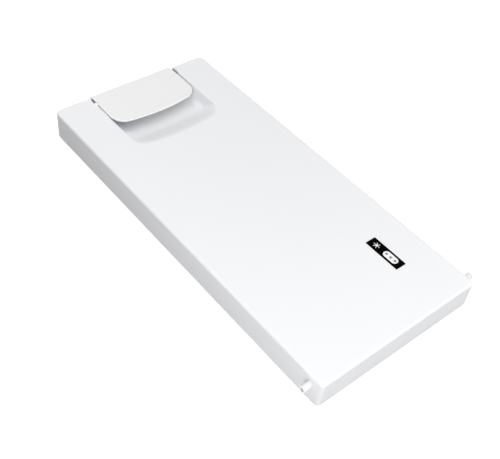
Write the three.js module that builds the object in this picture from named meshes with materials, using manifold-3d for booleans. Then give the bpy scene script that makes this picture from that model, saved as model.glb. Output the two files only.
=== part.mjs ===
// Freezer-compartment door: the inner flap door of a refrigerator's ice box, lying on its back with
// its face up. Units are millimetres. In the door's own layout X runs from the handle end to the
// hinge end, Y from the lower edge to the upper edge as the door hangs, and Z from the plane of the
// seal up to the face. The exported group moves that layout so that its origin is the centre of the
// bounding box's bottom.
import * as THREE from "three";
import { mergeVertices } from "three/addons/utils/BufferGeometryUtils.js";
import Module from "manifold-3d";

const wasm = await Module();
wasm.setup();

// ---- Driving dimensions -------------------------------------------------------------------------
const LENGTH = 480; // handle end to hinge end
const HEIGHT = 221; // lower edge to upper edge
const SHELL_DEPTH = 34; // rear rim to face
const SEAL_HEIGHT = 4; // how far the seal stands behind the rear rim
const WALL = 2.2; // moulded wall of the shell
const CORNER_R = 7; // corners of the door in plan
const FACE_ROUND = 3; // rounding where the face meets the sides
const GAP = 0.3; // assembly clearance between pieces that touch
const BITE = 0.5; // how far a rib or post runs into the wall that it grows from
const PAST = 6; // how far a cutter runs past the surface that it opens

const FACE_Z = SEAL_HEIGHT + SHELL_DEPTH;
const RIM_Z = SEAL_HEIGHT;
const MID_Y = HEIGHT / 2;
const SKIN_Z = FACE_Z - WALL; // inner side of the face

// Handle well: a deep pocket at the end for the latch, a flat floor and a ramp up to the face.
const WELL = {
  halfWidth: 61.5,
  end: 112.5, // where the ramp's rounding reaches the face
  rampTop: 110, // where the ramp would meet the face if it were sharp
  rampFoot: 86,
  floorDepth: 14,
  pocketEnd: 15,
  pocketDepth: 24,
  cornerR: 18,
  mouthR: 4, // rounding where the side walls meet the door's end
  bowR: 250,
  footBlend: 10,
  topBlend: 3,
};
const FLOOR_Z = FACE_Z - WELL.floorDepth;
const POCKET_Z = FACE_Z - WELL.pocketDepth;

// Ledges on the well's side walls that the flap rests on.
const LEDGE = { from: 24, to: 42, width: 4, thickness: 2.4 };

// Handle flap and the axle it turns on.
const FLAP = {
  halfWidth: 59.9,
  start: -1.1, // stands this far out of the door's end
  end: 66.4,
  cornerR: 20,
  bowR: 250,
  thickness: 3,
  edgeRound: 1,
  skirt: 3, // wall that hangs over the door's end
  skirtDepth: 11,
  lip: 2.8, // wall of the finger lip under the free edge
  lipDepth: 5.4,
  lipInset: 3.4,
  lipStart: 55,
};
const FLAP_UNDER_Z = FACE_Z - FLAP.thickness;
const SKIRT_BACK = FLAP.start + FLAP.skirt;
const SIDE_NOTCH = { from: 4, to: 16, step: 0.8, width: 2.4, edge: 1.2 }; // in the flap's side edges
const RIB = { depth: 9, thickness: 1.6, flatEnd: 20.5, end: 35.5, offsets: [22, 50] };

const AXLE = { x: 17.5, z: FACE_Z - 6, radius: 1.5, fit: 0.12, reach: 64.7 };
const HUB = { radius: 3.5, length: 9, sideGap: 0.4 };
const BUSH = { barrelR: 2.8, flangeR: 4.6, flange: 1.6, length: 5.4, boreR: 1.75, boreDepth: 3.6 };

// Latch hook on the skirt. Its nose catches behind a keeper, with the flat side towards the face.
const HOOK = {
  halfWidth: 14,
  back: 5.3,
  front: 2.3,
  shoulder: -1.6, // the catch face starts here, clear of the skirt
  tip: -4.6,
  catchDepth: 11.5,
  neckDepth: 12.6,
  noseEdge: 1.4,
  bottomFront: 1,
  bottomDepth: 17,
};
const RAIL = { wall: 1.4, side: 1.8, overlap: 2, depth: 10.5 };

// Return springs under the flap's outer end, and the pegs that hold them.
const HANDLE_SPRING = { x: 8.5, offsetY: 36, outerR: 3.5, wireR: 0.4, turns: 7 };
const PEG = { radius: 2.2, height: 3, flapHeight: 2 };
const BOSS = { radius: 4.2, depth: 8.1 };

// Hinge pins, their corner blocks and end caps, laid out by distance in from the door's side.
const PIN = {
  x: LENGTH - 13.8,
  z: FACE_Z - 9.8,
  radius: 3.75,
  reach: 12, // beyond the side of the door
  collarR: 5,
  collar: 2,
  tailR: 2,
  tailOut: 3, // tail that shows behind the end cap
  holeR: 1.8,
  holeDepth: 7,
  travel: 10.5,
};
const BLOCK = { inset: WALL + 0.5, length: 26, back: 12, halfHeight: 6.6, wall: 2.5, chamberR: 5.25 };
const BLOCK_END = BLOCK.inset + BLOCK.length;
const COLLAR_START = BLOCK.inset + BLOCK.wall + GAP;
const CAP = { flange: 1.6, plug: 2.5, plugR: 5, halfSize: 6.2 };
const PIN_SPRING = {
  from: COLLAR_START + PIN.collar + GAP,
  to: BLOCK_END - CAP.plug - GAP,
  outerR: 4.4,
  wireR: 0.45,
  turns: 7,
};

// Rear panel with its seal groove and screws, and the seal. Insets are from the door's outline.
const PANEL = { inset: WALL + 0.4, z: RIM_Z + 2, thickness: 2, plateau: 26, plateauZ: 2, overlap: 2 };
const GROOVE = { outer: 10.7, inner: 14.3, wall: 1.2, topZ: 10 };
const GROOVE_TOP_Z = GROOVE.topZ + GROOVE.wall;
const SCREW = {
  firstX: 126,
  inset: 42,
  headR: 3.6,
  head: 2.2,
  shankR: 1.6,
  length: 16,
  cupR: 4.3,
  cupWall: 1.8,
  cupDepth: 0.8, // past the panel's back
  cupTop: 3,
  crossWidth: 0.9,
  crossLength: 4.2,
  crossDepth: 1.1,
};
const POST = { radius: 4.5, startZ: PANEL.z + 3.4, boreR: 1.9, boreDepth: 19 };
const SEAL = { outer: 6, web: 7.8, inner: 19, base: 1.3, lip: 1.5, lipInner: 17 };
const DART = { outer: 11.2, inner: 13.8, stemInset: 0.6, topZ: 9.4, barbZ: [7.8, 8.8] };
const MITRE_GAP = 0.4;
const FOAM_SLACK = 0.6;

const BADGE = { x: LENGTH - 84.1, y: HEIGHT - 50.5, width: 46.5, height: 14.3, z: 0.05, thickness: 0.35 };

// ---- Finishes -----------------------------------------------------------------------------------
const finish = (color, roughness, metalness = 0) =>
  new THREE.MeshStandardMaterial({ color, roughness, metalness });
const whiteShell = finish(0xf1f2f4, 0.38);
const whiteFlap = finish(0xeeefef, 0.34);
const whiteLiner = finish(0xf0f1f2, 0.42);
const naturalAcetal = finish(0xeceae2, 0.45);
const softSeal = finish(0xe6e7e8, 0.6);
const polystyrene = finish(0xf8f8f6, 0.9);
const blackLabel = finish(0x0b0b0c, 0.35);
const springSteel = finish(0xb4b7ba, 0.3, 1);
const zincSteel = finish(0xc9cbcd, 0.35, 1);

// ---- Solid helpers ------------------------------------------------------------------------------
const MERGE_DISTANCE = 1e-4;

function solid(geometry) {
  geometry.deleteAttribute("normal");
  geometry.deleteAttribute("uv");
  const merged = mergeVertices(geometry, MERGE_DISTANCE);
  return new wasm.Manifold(
    new wasm.Mesh({
      numProp: 3,
      vertProperties: new Float32Array(merged.attributes.position.array),
      triVerts: new Uint32Array(merged.index.array),
    }),
  );
}

function geometryOf(manifold) {
  const { numVert, numProp, vertProperties, triVerts } = manifold.getMesh();
  const position = new Float32Array(numVert * 3);
  for (let i = 0; i < numVert; i++) {
    position.set(vertProperties.subarray(i * numProp, i * numProp + 3), i * 3);
  }
  const geometry = new THREE.BufferGeometry();
  geometry.setAttribute("position", new THREE.BufferAttribute(position, 3));
  geometry.setIndex(new THREE.BufferAttribute(triVerts, 1));
  geometry.computeVertexNormals();
  return geometry;
}

const sorted = (a, b) => [Math.min(a, b), Math.max(a, b)];

const box = (x0, x1, y0, y1, z0, z1) =>
  solid(
    new THREE.BoxGeometry(x1 - x0, y1 - y0, z1 - z0).translate(
      (x0 + x1) / 2,
      (y0 + y1) / 2,
      (z0 + z1) / 2,
    ),
  );

// A rod along Y, and one along Z.
function rodY(x, ya, yb, z, r, sides = 20) {
  const [y0, y1] = sorted(ya, yb);
  return solid(new THREE.CylinderGeometry(r, r, y1 - y0, sides).translate(x, (y0 + y1) / 2, z));
}

const rodZ = (x, y, z0, z1, r, sides = 16) =>
  solid(
    new THREE.CylinderGeometry(r, r, z1 - z0, sides)
      .rotateX(Math.PI / 2)
      .translate(x, y, (z0 + z1) / 2),
  );

// A plan outline raised from z0 to z1.
const raised = (shape, z0, z1) =>
  solid(
    new THREE.ExtrudeGeometry(shape, { depth: z1 - z0, bevelEnabled: false, curveSegments: 6 })
      .translate(0, 0, z0),
  );

// A side outline, drawn in X and Z, run out from y0 to y1.
const drawn = (shape, y0, y1) =>
  solid(
    new THREE.ExtrudeGeometry(shape, { depth: y1 - y0, bevelEnabled: false, curveSegments: 6 })
      .rotateX(Math.PI / 2)
      .translate(0, y1, 0),
  );

const outline = (points) => new THREE.Shape(points.map(([x, y]) => new THREE.Vector2(x, y)));

// The door's rectangle drawn in by an inset. Its corners are round until the inset passes them.
function doorPlan(inset) {
  const r = CORNER_R - inset;
  const x0 = inset;
  const x1 = LENGTH - inset;
  const y0 = inset;
  const y1 = HEIGHT - inset;
  if (r <= 0) {
    return outline([[x0, y0], [x1, y0], [x1, y1], [x0, y1]]);
  }
  const shape = new THREE.Shape();
  shape.moveTo(x0 + r, y0);
  shape.absarc(x1 - r, y0 + r, r, -Math.PI / 2, 0);
  shape.absarc(x1 - r, y1 - r, r, 0, Math.PI / 2);
  shape.absarc(x0 + r, y1 - r, r, Math.PI / 2, Math.PI);
  shape.absarc(x0 + r, y0 + r, r, Math.PI, 1.5 * Math.PI);
  return shape;
}

// A frame that follows the door's outline between two insets.
const ring = (outer, inner, z0, z1) =>
  raised(doorPlan(outer), z0, z1).subtract(raised(doorPlan(inner), z0 - PAST, z1 + PAST));

// A tongue that starts square at x0 and ends in a bowed edge with round corners, grown by extra.
function tonguePlan({ end, halfWidth, cornerR, bowR }, x0, extra = 0) {
  const half = halfWidth + extra;
  const r = cornerR + extra;
  const bow = bowR + extra;
  const bowX = end + extra - bow;
  const meet = Math.asin((half - r) / (bow - r));
  const cornerX = bowX + (bow - r) * Math.cos(meet);
  const shape = new THREE.Shape();
  shape.moveTo(x0, MID_Y - half);
  shape.lineTo(cornerX, MID_Y - half);
  shape.absarc(cornerX, MID_Y - half + r, r, -Math.PI / 2, -meet);
  shape.absarc(bowX, MID_Y, bow, -meet, meet);
  shape.absarc(cornerX, MID_Y + half - r, r, meet, Math.PI / 2);
  shape.lineTo(x0, MID_Y + half);
  return shape;
}

// ---- Front shell --------------------------------------------------------------------------------
const WELL_START = -20; // the well's cutter starts outside the door's end

// Side outline of the handle well, grown by extra for the moulded wall around it.
function wellProfile(extra = 0) {
  const slope = Math.atan2(WELL.floorDepth, WELL.rampTop - WELL.rampFoot);
  const foot = WELL.rampFoot + extra * Math.tan(slope / 2);
  const top = WELL.rampTop + extra / Math.sin(slope);
  const floor = FLOOR_Z - extra;
  const pocket = POCKET_Z - extra;
  const pocketEnd = WELL.pocketEnd + extra;
  const above = FACE_Z + PAST;
  const upRamp = (x, z, distance) => [
    x + distance * Math.cos(slope),
    z + distance * Math.sin(slope),
  ];
  const shape = new THREE.Shape();
  shape.moveTo(WELL_START, above);
  shape.lineTo(WELL_START, pocket);
  shape.lineTo(pocketEnd, pocket);
  shape.lineTo(pocketEnd, floor);
  shape.lineTo(foot - WELL.footBlend, floor);
  shape.quadraticCurveTo(foot, floor, ...upRamp(foot, floor, WELL.footBlend));
  shape.lineTo(...upRamp(top, FACE_Z, -WELL.topBlend));
  shape.quadraticCurveTo(top, FACE_Z, top + WELL.topBlend, FACE_Z);
  shape.lineTo(top + WELL.topBlend, above);
  return shape;
}

function wellVolume(extra = 0) {
  const reach = WELL.halfWidth + extra + PAST;
  return drawn(wellProfile(extra), MID_Y - reach, MID_Y + reach).intersect(
    raised(tonguePlan(WELL, WELL_START, extra), POCKET_Z - extra - PAST, FACE_Z + PAST),
  );
}

// What is cut away to round the vertical corner between a side wall of the well and the door's end.
function mouthCorner(side) {
  const r = WELL.mouthR;
  const wallY = MID_Y + side * WELL.halfWidth;
  const [y0, y1] = sorted(wallY - side * BITE, wallY + side * r);
  const block = box(-PAST, r, y0, y1, POCKET_Z, FACE_Z + PAST);
  return block.subtract(rodZ(r, wallY + side * r, POCKET_Z - PAST, FACE_Z + 2 * PAST, r, 32));
}

function outerBody() {
  const body = new THREE.ExtrudeGeometry(doorPlan(FACE_ROUND), {
    depth: SHELL_DEPTH + PAST - FACE_ROUND,
    bevelThickness: FACE_ROUND,
    bevelSize: FACE_ROUND,
    bevelSegments: 3,
    curveSegments: 5,
  }).translate(0, 0, RIM_Z - PAST);
  const aboveRim = box(-PAST, LENGTH + PAST, -PAST, HEIGHT + PAST, RIM_Z, FACE_Z + PAST);
  return solid(body).intersect(aboveRim);
}

const screwPlaces = [SCREW.firstX, (SCREW.firstX + LENGTH - SCREW.inset) / 2, LENGTH - SCREW.inset]
  .flatMap((x) => [SCREW.inset, HEIGHT - SCREW.inset].map((y) => [x, y]));

function frontShell() {
  const body = outerBody();
  const inside = raised(doorPlan(WALL), RIM_Z - PAST, SKIN_Z);
  let shell = body.subtract(inside).add(wellVolume(WALL).intersect(body));
  for (const [x, y] of screwPlaces) {
    shell = shell
      .add(rodZ(x, y, POST.startZ, SKIN_Z + BITE, POST.radius))
      .subtract(rodZ(x, y, PANEL.z, PANEL.z + POST.boreDepth, POST.boreR, 10));
  }
  shell = shell.subtract(wellVolume());
  for (const side of [-1, 1]) {
    const wallY = MID_Y + side * WELL.halfWidth;
    const [y0, y1] = sorted(wallY + side * BITE, wallY - side * LEDGE.width);
    const ledgeTop = FLAP_UNDER_Z - GAP;
    const ledge = box(LEDGE.from, LEDGE.to, y0, y1, ledgeTop - LEDGE.thickness, ledgeTop);
    const springY = MID_Y + side * HANDLE_SPRING.offsetY;
    const peg = rodZ(HANDLE_SPRING.x, springY, POCKET_Z - BITE, POCKET_Z + PEG.height, PEG.radius, 12);
    const bushHole = rodY(AXLE.x, wallY - PAST, wallY + PAST, AXLE.z, BUSH.barrelR + GAP);
    const edge = side < 0 ? 0 : HEIGHT;
    const pinHole = rodY(PIN.x, edge - PAST, edge + PAST, PIN.z, PIN.radius + GAP);
    shell = shell
      .add(ledge)
      .add(peg)
      .subtract(bushHole)
      .subtract(pinHole)
      .subtract(mouthCorner(side));
  }
  return shell;
}

// ---- Rear panel, foam and seal ------------------------------------------------------------------
function rearPanel() {
  const top = PANEL.z + PANEL.thickness;
  const plateauTop = PANEL.plateauZ + PANEL.thickness;
  let panel = ring(PANEL.inset, PANEL.plateau, PANEL.z, top)
    .add(ring(GROOVE.outer - GROOVE.wall, GROOVE.inner + GROOVE.wall, PANEL.z, GROOVE_TOP_Z))
    .add(ring(PANEL.plateau - PANEL.overlap, PANEL.plateau, PANEL.plateauZ, top))
    .add(raised(doorPlan(PANEL.plateau - BITE), PANEL.plateauZ, plateauTop))
    .subtract(ring(GROOVE.outer, GROOVE.inner, PANEL.z - PAST, GROOVE.topZ));
  for (const [x, y] of screwPlaces) {
    panel = panel
      .add(rodZ(x, y, PANEL.plateauZ, PANEL.z + SCREW.cupTop, SCREW.cupR + SCREW.cupWall))
      .subtract(rodZ(x, y, 0, PANEL.z + SCREW.cupDepth, SCREW.cupR))
      .subtract(rodZ(x, y, 0, PANEL.z + PAST, SCREW.shankR + GAP, 10));
  }
  return panel;
}

function foamCore() {
  const top = SKIN_Z - FOAM_SLACK;
  const plateauTop = PANEL.plateauZ + PANEL.thickness + FOAM_SLACK;
  let foam = raised(doorPlan(PANEL.plateau + FOAM_SLACK), plateauTop, top)
    .add(raised(doorPlan(WALL + FOAM_SLACK), GROOVE_TOP_Z + FOAM_SLACK, top))
    .subtract(wellVolume(WALL + FOAM_SLACK));
  for (const [x, y] of screwPlaces) {
    foam = foam.subtract(rodZ(x, y, 0, FACE_Z, SCREW.cupR + SCREW.cupWall + FOAM_SLACK));
  }
  for (const side of [-1, 1]) {
    const pinRoom = BLOCK_END + CAP.flange + PIN.tailOut + PIN.travel;
    foam = foam
      .subtract(cornerBox(side, 0, pinRoom, PIN.x - BLOCK.back - FOAM_SLACK, LENGTH, 0, FACE_Z))
      .subtract(bushRoom(side));
  }
  return foam;
}

// The frame of seal: a flat base, an outer wall, a soft lip and a barbed stem that fills the groove.
function sealFrame() {
  const top = PANEL.z - GAP;
  const base = top - SEAL.base;
  return ring(SEAL.outer, SEAL.inner, base, top)
    .add(ring(SEAL.outer, SEAL.web, 0, top))
    .add(ring(SEAL.outer, SEAL.lipInner, 0, SEAL.lip))
    .add(ring(DART.outer + DART.stemInset, DART.inner - DART.stemInset, base, DART.topZ))
    .add(ring(DART.outer, DART.inner, ...DART.barbZ));
}

// The four lengths of seal, cut apart along the corners' bisectors.
function sealLengths() {
  const far = LENGTH - MID_Y;
  const cuts = {
    gasket_lower: [
      [MITRE_GAP, 0],
      [LENGTH - MITRE_GAP, 0],
      [far, MID_Y - MITRE_GAP],
      [MID_Y, MID_Y - MITRE_GAP],
    ],
    gasket_upper: [
      [LENGTH - MITRE_GAP, HEIGHT],
      [MITRE_GAP, HEIGHT],
      [MID_Y, MID_Y + MITRE_GAP],
      [far, MID_Y + MITRE_GAP],
    ],
    gasket_handle_end: [[0, HEIGHT], [0, 0], [MID_Y, MID_Y]],
    gasket_hinge_end: [[LENGTH, 0], [LENGTH, HEIGHT], [far, MID_Y]],
  };
  const frame = sealFrame();
  return Object.entries(cuts).map(([name, corners]) => [
    name,
    frame.intersect(raised(outline(corners), -PAST, FACE_Z)),
  ]);
}

// ---- Handle -------------------------------------------------------------------------------------
// A rod along Y on the axle's line, laid out by distances from the door's middle.
const axleRod = (side, from, to, r) =>
  rodY(AXLE.x, MID_Y + side * from, MID_Y + side * to, AXLE.z, r);

// Room that a bush takes in the foam behind the well's side wall.
function bushRoom(side) {
  const near = MID_Y + side * WELL.halfWidth;
  const [y0, y1] = sorted(near, near + side * (BUSH.length + 2 * FOAM_SLACK));
  const half = BUSH.flangeR + 2 * FOAM_SLACK;
  return box(AXLE.x - half, AXLE.x + half, y0, y1, AXLE.z - half, FACE_Z);
}

function flapPlate() {
  const round = FLAP.edgeRound;
  return solid(
    new THREE.ExtrudeGeometry(tonguePlan(FLAP, FLAP.start + round, -round), {
      depth: FLAP.thickness - 2 * round,
      bevelThickness: round,
      bevelSize: round,
      bevelSegments: 2,
      curveSegments: 6,
    }).translate(0, 0, FLAP_UNDER_Z + round),
  );
}

// Notch in one side edge of the plate, beside the axle: a step back, and room under the thin edge.
function sideNotch(side) {
  const edgeY = MID_Y + side * FLAP.halfWidth;
  const outY = edgeY + side * PAST;
  const [s0, s1] = sorted(edgeY - side * SIDE_NOTCH.step, outY);
  const [u0, u1] = sorted(edgeY - side * SIDE_NOTCH.width, outY);
  const underEdge = FACE_Z - SIDE_NOTCH.edge;
  return box(SIDE_NOTCH.from, SIDE_NOTCH.to, s0, s1, FLAP_UNDER_Z - PAST, FACE_Z + PAST).add(
    box(SIDE_NOTCH.from, SIDE_NOTCH.to, u0, u1, FLAP_UNDER_Z - PAST, underEdge),
  );
}

// Downturned lip along the free edge, for the fingertips.
function fingerLip() {
  const bottom = FACE_Z - FLAP.lipDepth;
  const inner = -FLAP.lipInset - FLAP.lip;
  const reach = FLAP.halfWidth;
  return raised(tonguePlan(FLAP, 0, -FLAP.lipInset), bottom, FLAP_UNDER_Z + BITE)
    .subtract(raised(tonguePlan(FLAP, -PAST, inner), bottom - PAST, FACE_Z))
    .intersect(box(FLAP.lipStart, FLAP.end, MID_Y - reach, MID_Y + reach, bottom, FACE_Z));
}

// Stiffening rib under the flap, from the skirt past the axle.
function rib(y) {
  const top = FACE_Z - FLAP.edgeRound;
  const profile = outline([
    [SKIRT_BACK - BITE, top],
    [SKIRT_BACK - BITE, FACE_Z - RIB.depth],
    [RIB.flatEnd, FACE_Z - RIB.depth],
    [RIB.end, FLAP_UNDER_Z],
    [RIB.end, top],
  ]);
  return drawn(profile, y - RIB.thickness / 2, y + RIB.thickness / 2);
}

// Rail on the skirt that holds one side of the latch hook.
function hookRail(side) {
  const inner = HOOK.halfWidth + GAP;
  const outer = inner + RAIL.side;
  const back = HOOK.back + GAP;
  const bottom = FACE_Z - RAIL.depth;
  const top = FACE_Z - FLAP.edgeRound;
  const [w0, w1] = sorted(MID_Y + side * inner, MID_Y + side * outer);
  const [l0, l1] = sorted(MID_Y + side * (inner - RAIL.overlap), MID_Y + side * outer);
  return box(SKIRT_BACK - BITE, back + RAIL.wall, w0, w1, bottom, top).add(
    box(back, back + RAIL.wall, l0, l1, bottom, top),
  );
}

function handleFlap() {
  const round = FLAP.edgeRound;
  const y0 = MID_Y - FLAP.halfWidth;
  const y1 = MID_Y + FLAP.halfWidth;
  const skirtBottom = FACE_Z - FLAP.skirtDepth;
  const skirt = box(FLAP.start, SKIRT_BACK, y0 + round, y1 - round, skirtBottom, FACE_Z - round);
  let flap = flapPlate().add(skirt).add(fingerLip());
  for (const side of [-1, 1]) {
    flap = flap.subtract(sideNotch(side));
    const hubOut = WELL.halfWidth - HUB.sideGap;
    const springY = MID_Y + side * HANDLE_SPRING.offsetY;
    const bossZ = FACE_Z - BOSS.depth;
    flap = flap
      .add(axleRod(side, hubOut - HUB.length, hubOut, HUB.radius))
      .add(rodZ(HANDLE_SPRING.x, springY, bossZ, FACE_Z - round, BOSS.radius))
      .add(rodZ(HANDLE_SPRING.x, springY, bossZ - PEG.flapHeight, bossZ + BITE, PEG.radius, 12))
      .add(hookRail(side));
    for (const offset of RIB.offsets) {
      flap = flap.add(rib(MID_Y + side * offset));
    }
  }
  return flap.subtract(axleRod(1, -AXLE.reach, AXLE.reach, AXLE.radius + AXLE.fit));
}

function latchHook() {
  const top = FLAP_UNDER_Z - GAP;
  const catchZ = FACE_Z - HOOK.catchDepth;
  const neckZ = FACE_Z - HOOK.neckDepth;
  const bottom = FACE_Z - HOOK.bottomDepth;
  const profile = outline([
    [HOOK.front, top],
    [HOOK.front, neckZ],
    [HOOK.shoulder, neckZ],
    [HOOK.shoulder, catchZ],
    [HOOK.tip, catchZ],
    [HOOK.tip, catchZ - HOOK.noseEdge],
    [HOOK.bottomFront, bottom],
    [HOOK.back, bottom],
    [HOOK.back, top],
  ]);
  return drawn(profile, MID_Y - HOOK.halfWidth, MID_Y + HOOK.halfWidth);
}

// Bearing pushed into the well's side wall from the foam side, with a blind bore for the axle.
function axleBush(side) {
  const wallFace = WELL.halfWidth + GAP / 2;
  const flangeFace = WELL.halfWidth + WALL + GAP;
  const underSkin = box(0, AXLE.x * 2, 0, HEIGHT, 0, SKIN_Z - GAP);
  return axleRod(side, flangeFace, flangeFace + BUSH.flange, BUSH.flangeR)
    .intersect(underSkin)
    .add(axleRod(side, wallFace, wallFace + BUSH.length, BUSH.barrelR))
    .subtract(axleRod(side, wallFace - PAST, wallFace + BUSH.boreDepth, BUSH.boreR));
}

// ---- Springs ------------------------------------------------------------------------------------
class Helix extends THREE.Curve {
  constructor(radius, length, turns) {
    super();
    Object.assign(this, { radius, length, turns });
  }
  getPoint(t, target = new THREE.Vector3()) {
    const angle = t * this.turns * 2 * Math.PI;
    return target.set(
      this.radius * Math.cos(angle),
      this.radius * Math.sin(angle),
      t * this.length,
    );
  }
}

// A compression spring along local Z, from 0 to its length.
function coilSpring({ outerR, wireR, turns }, length) {
  const wire = new THREE.Shape().absarc(0, 0, wireR, 0, 2 * Math.PI);
  const geometry = new THREE.ExtrudeGeometry(wire, {
    steps: turns * 9,
    curveSegments: 3,
    extrudePath: new Helix(outerR - wireR, length - 2 * wireR, turns),
  });
  return geometryOf(solid(geometry.translate(0, 0, wireR)));
}

// ---- Hinge pins and blocks ----------------------------------------------------------------------
const edgeY = (side) => (side < 0 ? 0 : HEIGHT);

const cornerRod = (side, from, to, r, sides = 20) =>
  rodY(PIN.x, edgeY(side) - side * from, edgeY(side) - side * to, PIN.z, r, sides);

function cornerBox(side, from, to, x0, x1, z0, z1) {
  const [y0, y1] = sorted(edgeY(side) - side * from, edgeY(side) - side * to);
  return box(x0, x1, y0, y1, z0, z1);
}

function hingeBlock(side) {
  const z0 = PIN.z - BLOCK.halfHeight;
  const z1 = PIN.z + BLOCK.halfHeight;
  return cornerBox(side, BLOCK.inset, BLOCK_END, PIN.x - BLOCK.back, LENGTH, z0, z1)
    .intersect(raised(doorPlan(BLOCK.inset), z0, z1))
    .subtract(cornerRod(side, 0, BLOCK_END + PAST, PIN.radius + GAP))
    .subtract(cornerRod(side, BLOCK.inset + BLOCK.wall, BLOCK_END + PAST, BLOCK.chamberR));
}

function endCap(side) {
  const half = CAP.halfSize;
  const [x0, x1, z0, z1] = [PIN.x - half, PIN.x + half, PIN.z - half, PIN.z + half];
  return cornerBox(side, BLOCK_END + GAP, BLOCK_END + GAP + CAP.flange, x0, x1, z0, z1)
    .add(cornerRod(side, BLOCK_END - CAP.plug, BLOCK_END + GAP + BITE, CAP.plugR))
    .subtract(cornerRod(side, BLOCK_END - PAST, BLOCK_END + PAST, PIN.tailR + GAP, 16));
}

// The part of a hinge pin that both pins share: the shank that shows, and its collar.
const pinNose = (side) =>
  cornerRod(side, -PIN.reach, COLLAR_START + BITE, PIN.radius)
    .add(cornerRod(side, COLLAR_START, COLLAR_START + PIN.collar, PIN.collarR))
    .subtract(cornerRod(side, -PIN.reach - PAST, -PIN.reach + PIN.holeDepth, PIN.holeR, 16));

// The lower pin's thick shank fills its chamber, so it can't move.
const lowerHingePin = () =>
  pinNose(-1).add(cornerRod(-1, COLLAR_START + BITE, BLOCK_END - CAP.plug - GAP, PIN.collarR));

// The upper pin's thin tail carries a spring and slides through the end cap.
const upperHingePin = () =>
  pinNose(1).add(cornerRod(1, COLLAR_START + BITE, BLOCK_END + PIN.tailOut, PIN.tailR, 16));

// ---- Screws and badge ---------------------------------------------------------------------------
function panelScrew() {
  const seat = PANEL.z + SCREW.cupDepth - GAP;
  const headZ = seat - SCREW.head;
  const slot = (w, l) => box(-w / 2, w / 2, -l / 2, l / 2, 0, headZ + SCREW.crossDepth);
  return rodZ(0, 0, headZ, seat, SCREW.headR)
    .add(rodZ(0, 0, seat - BITE, seat + SCREW.length, SCREW.shankR, 8))
    .subtract(slot(SCREW.crossWidth, SCREW.crossLength))
    .subtract(slot(SCREW.crossLength, SCREW.crossWidth));
}

function starBadge() {
  const [halfX, halfY] = [BADGE.width / 2, BADGE.height / 2];
  const z = FACE_Z + BADGE.z;
  return box(
    BADGE.x - halfX,
    BADGE.x + halfX,
    BADGE.y - halfY,
    BADGE.y + halfY,
    z,
    z + BADGE.thickness,
  );
}

// ---- Assembly -----------------------------------------------------------------------------------
const door = new THREE.Group();

function place(name, shape, material, position = [0, 0, 0], parent = door) {
  const geometry = shape.isBufferGeometry ? shape : geometryOf(shape);
  const mesh = new THREE.Mesh(geometry, material);
  mesh.name = name;
  mesh.position.set(...position);
  parent.add(mesh);
}

place("front_shell", frontShell(), whiteShell);
place("rear_panel", rearPanel(), whiteLiner);
place("foam_core", foamCore(), polystyrene);
place("star_badge", starBadge(), blackLabel);
for (const [name, length] of sealLengths()) {
  place(name, length, softSeal);
}

place("handle_flap", handleFlap(), whiteFlap);
place("latch_hook", latchHook(), naturalAcetal);
place("handle_axle", axleRod(1, -AXLE.reach, AXLE.reach, AXLE.radius), zincSteel);

const handleSpringLength = WELL.pocketDepth - BOSS.depth - 2 * GAP;
const pinSpringLength = PIN_SPRING.to - PIN_SPRING.from;
for (const [where, side] of [["lower", -1], ["upper", 1]]) {
  const spring = coilSpring(HANDLE_SPRING, handleSpringLength);
  const springY = MID_Y + side * HANDLE_SPRING.offsetY;
  place(`handle_spring_${where}`, spring, springSteel, [HANDLE_SPRING.x, springY, POCKET_Z + GAP]);
  place(`axle_bush_${where}`, axleBush(side), naturalAcetal);
  place(`hinge_block_${where}`, hingeBlock(side), naturalAcetal);
  place(`pin_cap_${where}`, endCap(side), naturalAcetal);
}
place("hinge_pin_lower", lowerHingePin(), whiteFlap);
place("hinge_pin_upper", upperHingePin(), whiteFlap);

const pinSpringHolder = new THREE.Group();
pinSpringHolder.position.set(PIN.x, HEIGHT - PIN_SPRING.to, PIN.z);
pinSpringHolder.rotation.x = -Math.PI / 2;
door.add(pinSpringHolder);
place("pin_spring", coilSpring(PIN_SPRING, pinSpringLength), springSteel, [0, 0, 0], pinSpringHolder);

screwPlaces.forEach(([x, y], i) => {
  place(`panel_screw_${i + 1}`, panelScrew(), zincSteel, [x, y, 0]);
});

door.position.set(-(LENGTH + HOOK.tip) / 2, -HEIGHT / 2, 0);
const model = new THREE.Group();
model.add(door);
export default model;
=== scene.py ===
"""The looks of a freezer-compartment door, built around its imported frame.

The door lies on its back on a pale floor with its face up. +X runs from the handle end to the hinge
end, +Y from the lower edge to the upper edge, and +Z out of the face. Lengths are in metres.
"""
import logging
import math
from collections.abc import Callable, Iterator, Sequence
from contextlib import contextmanager
from dataclasses import dataclass
from enum import Enum

import bmesh
import bpy
from bpy.types import Material, NodeSocket, NodeTree, Object, ShaderNode, ShaderNodeTree
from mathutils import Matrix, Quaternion, Vector


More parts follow.
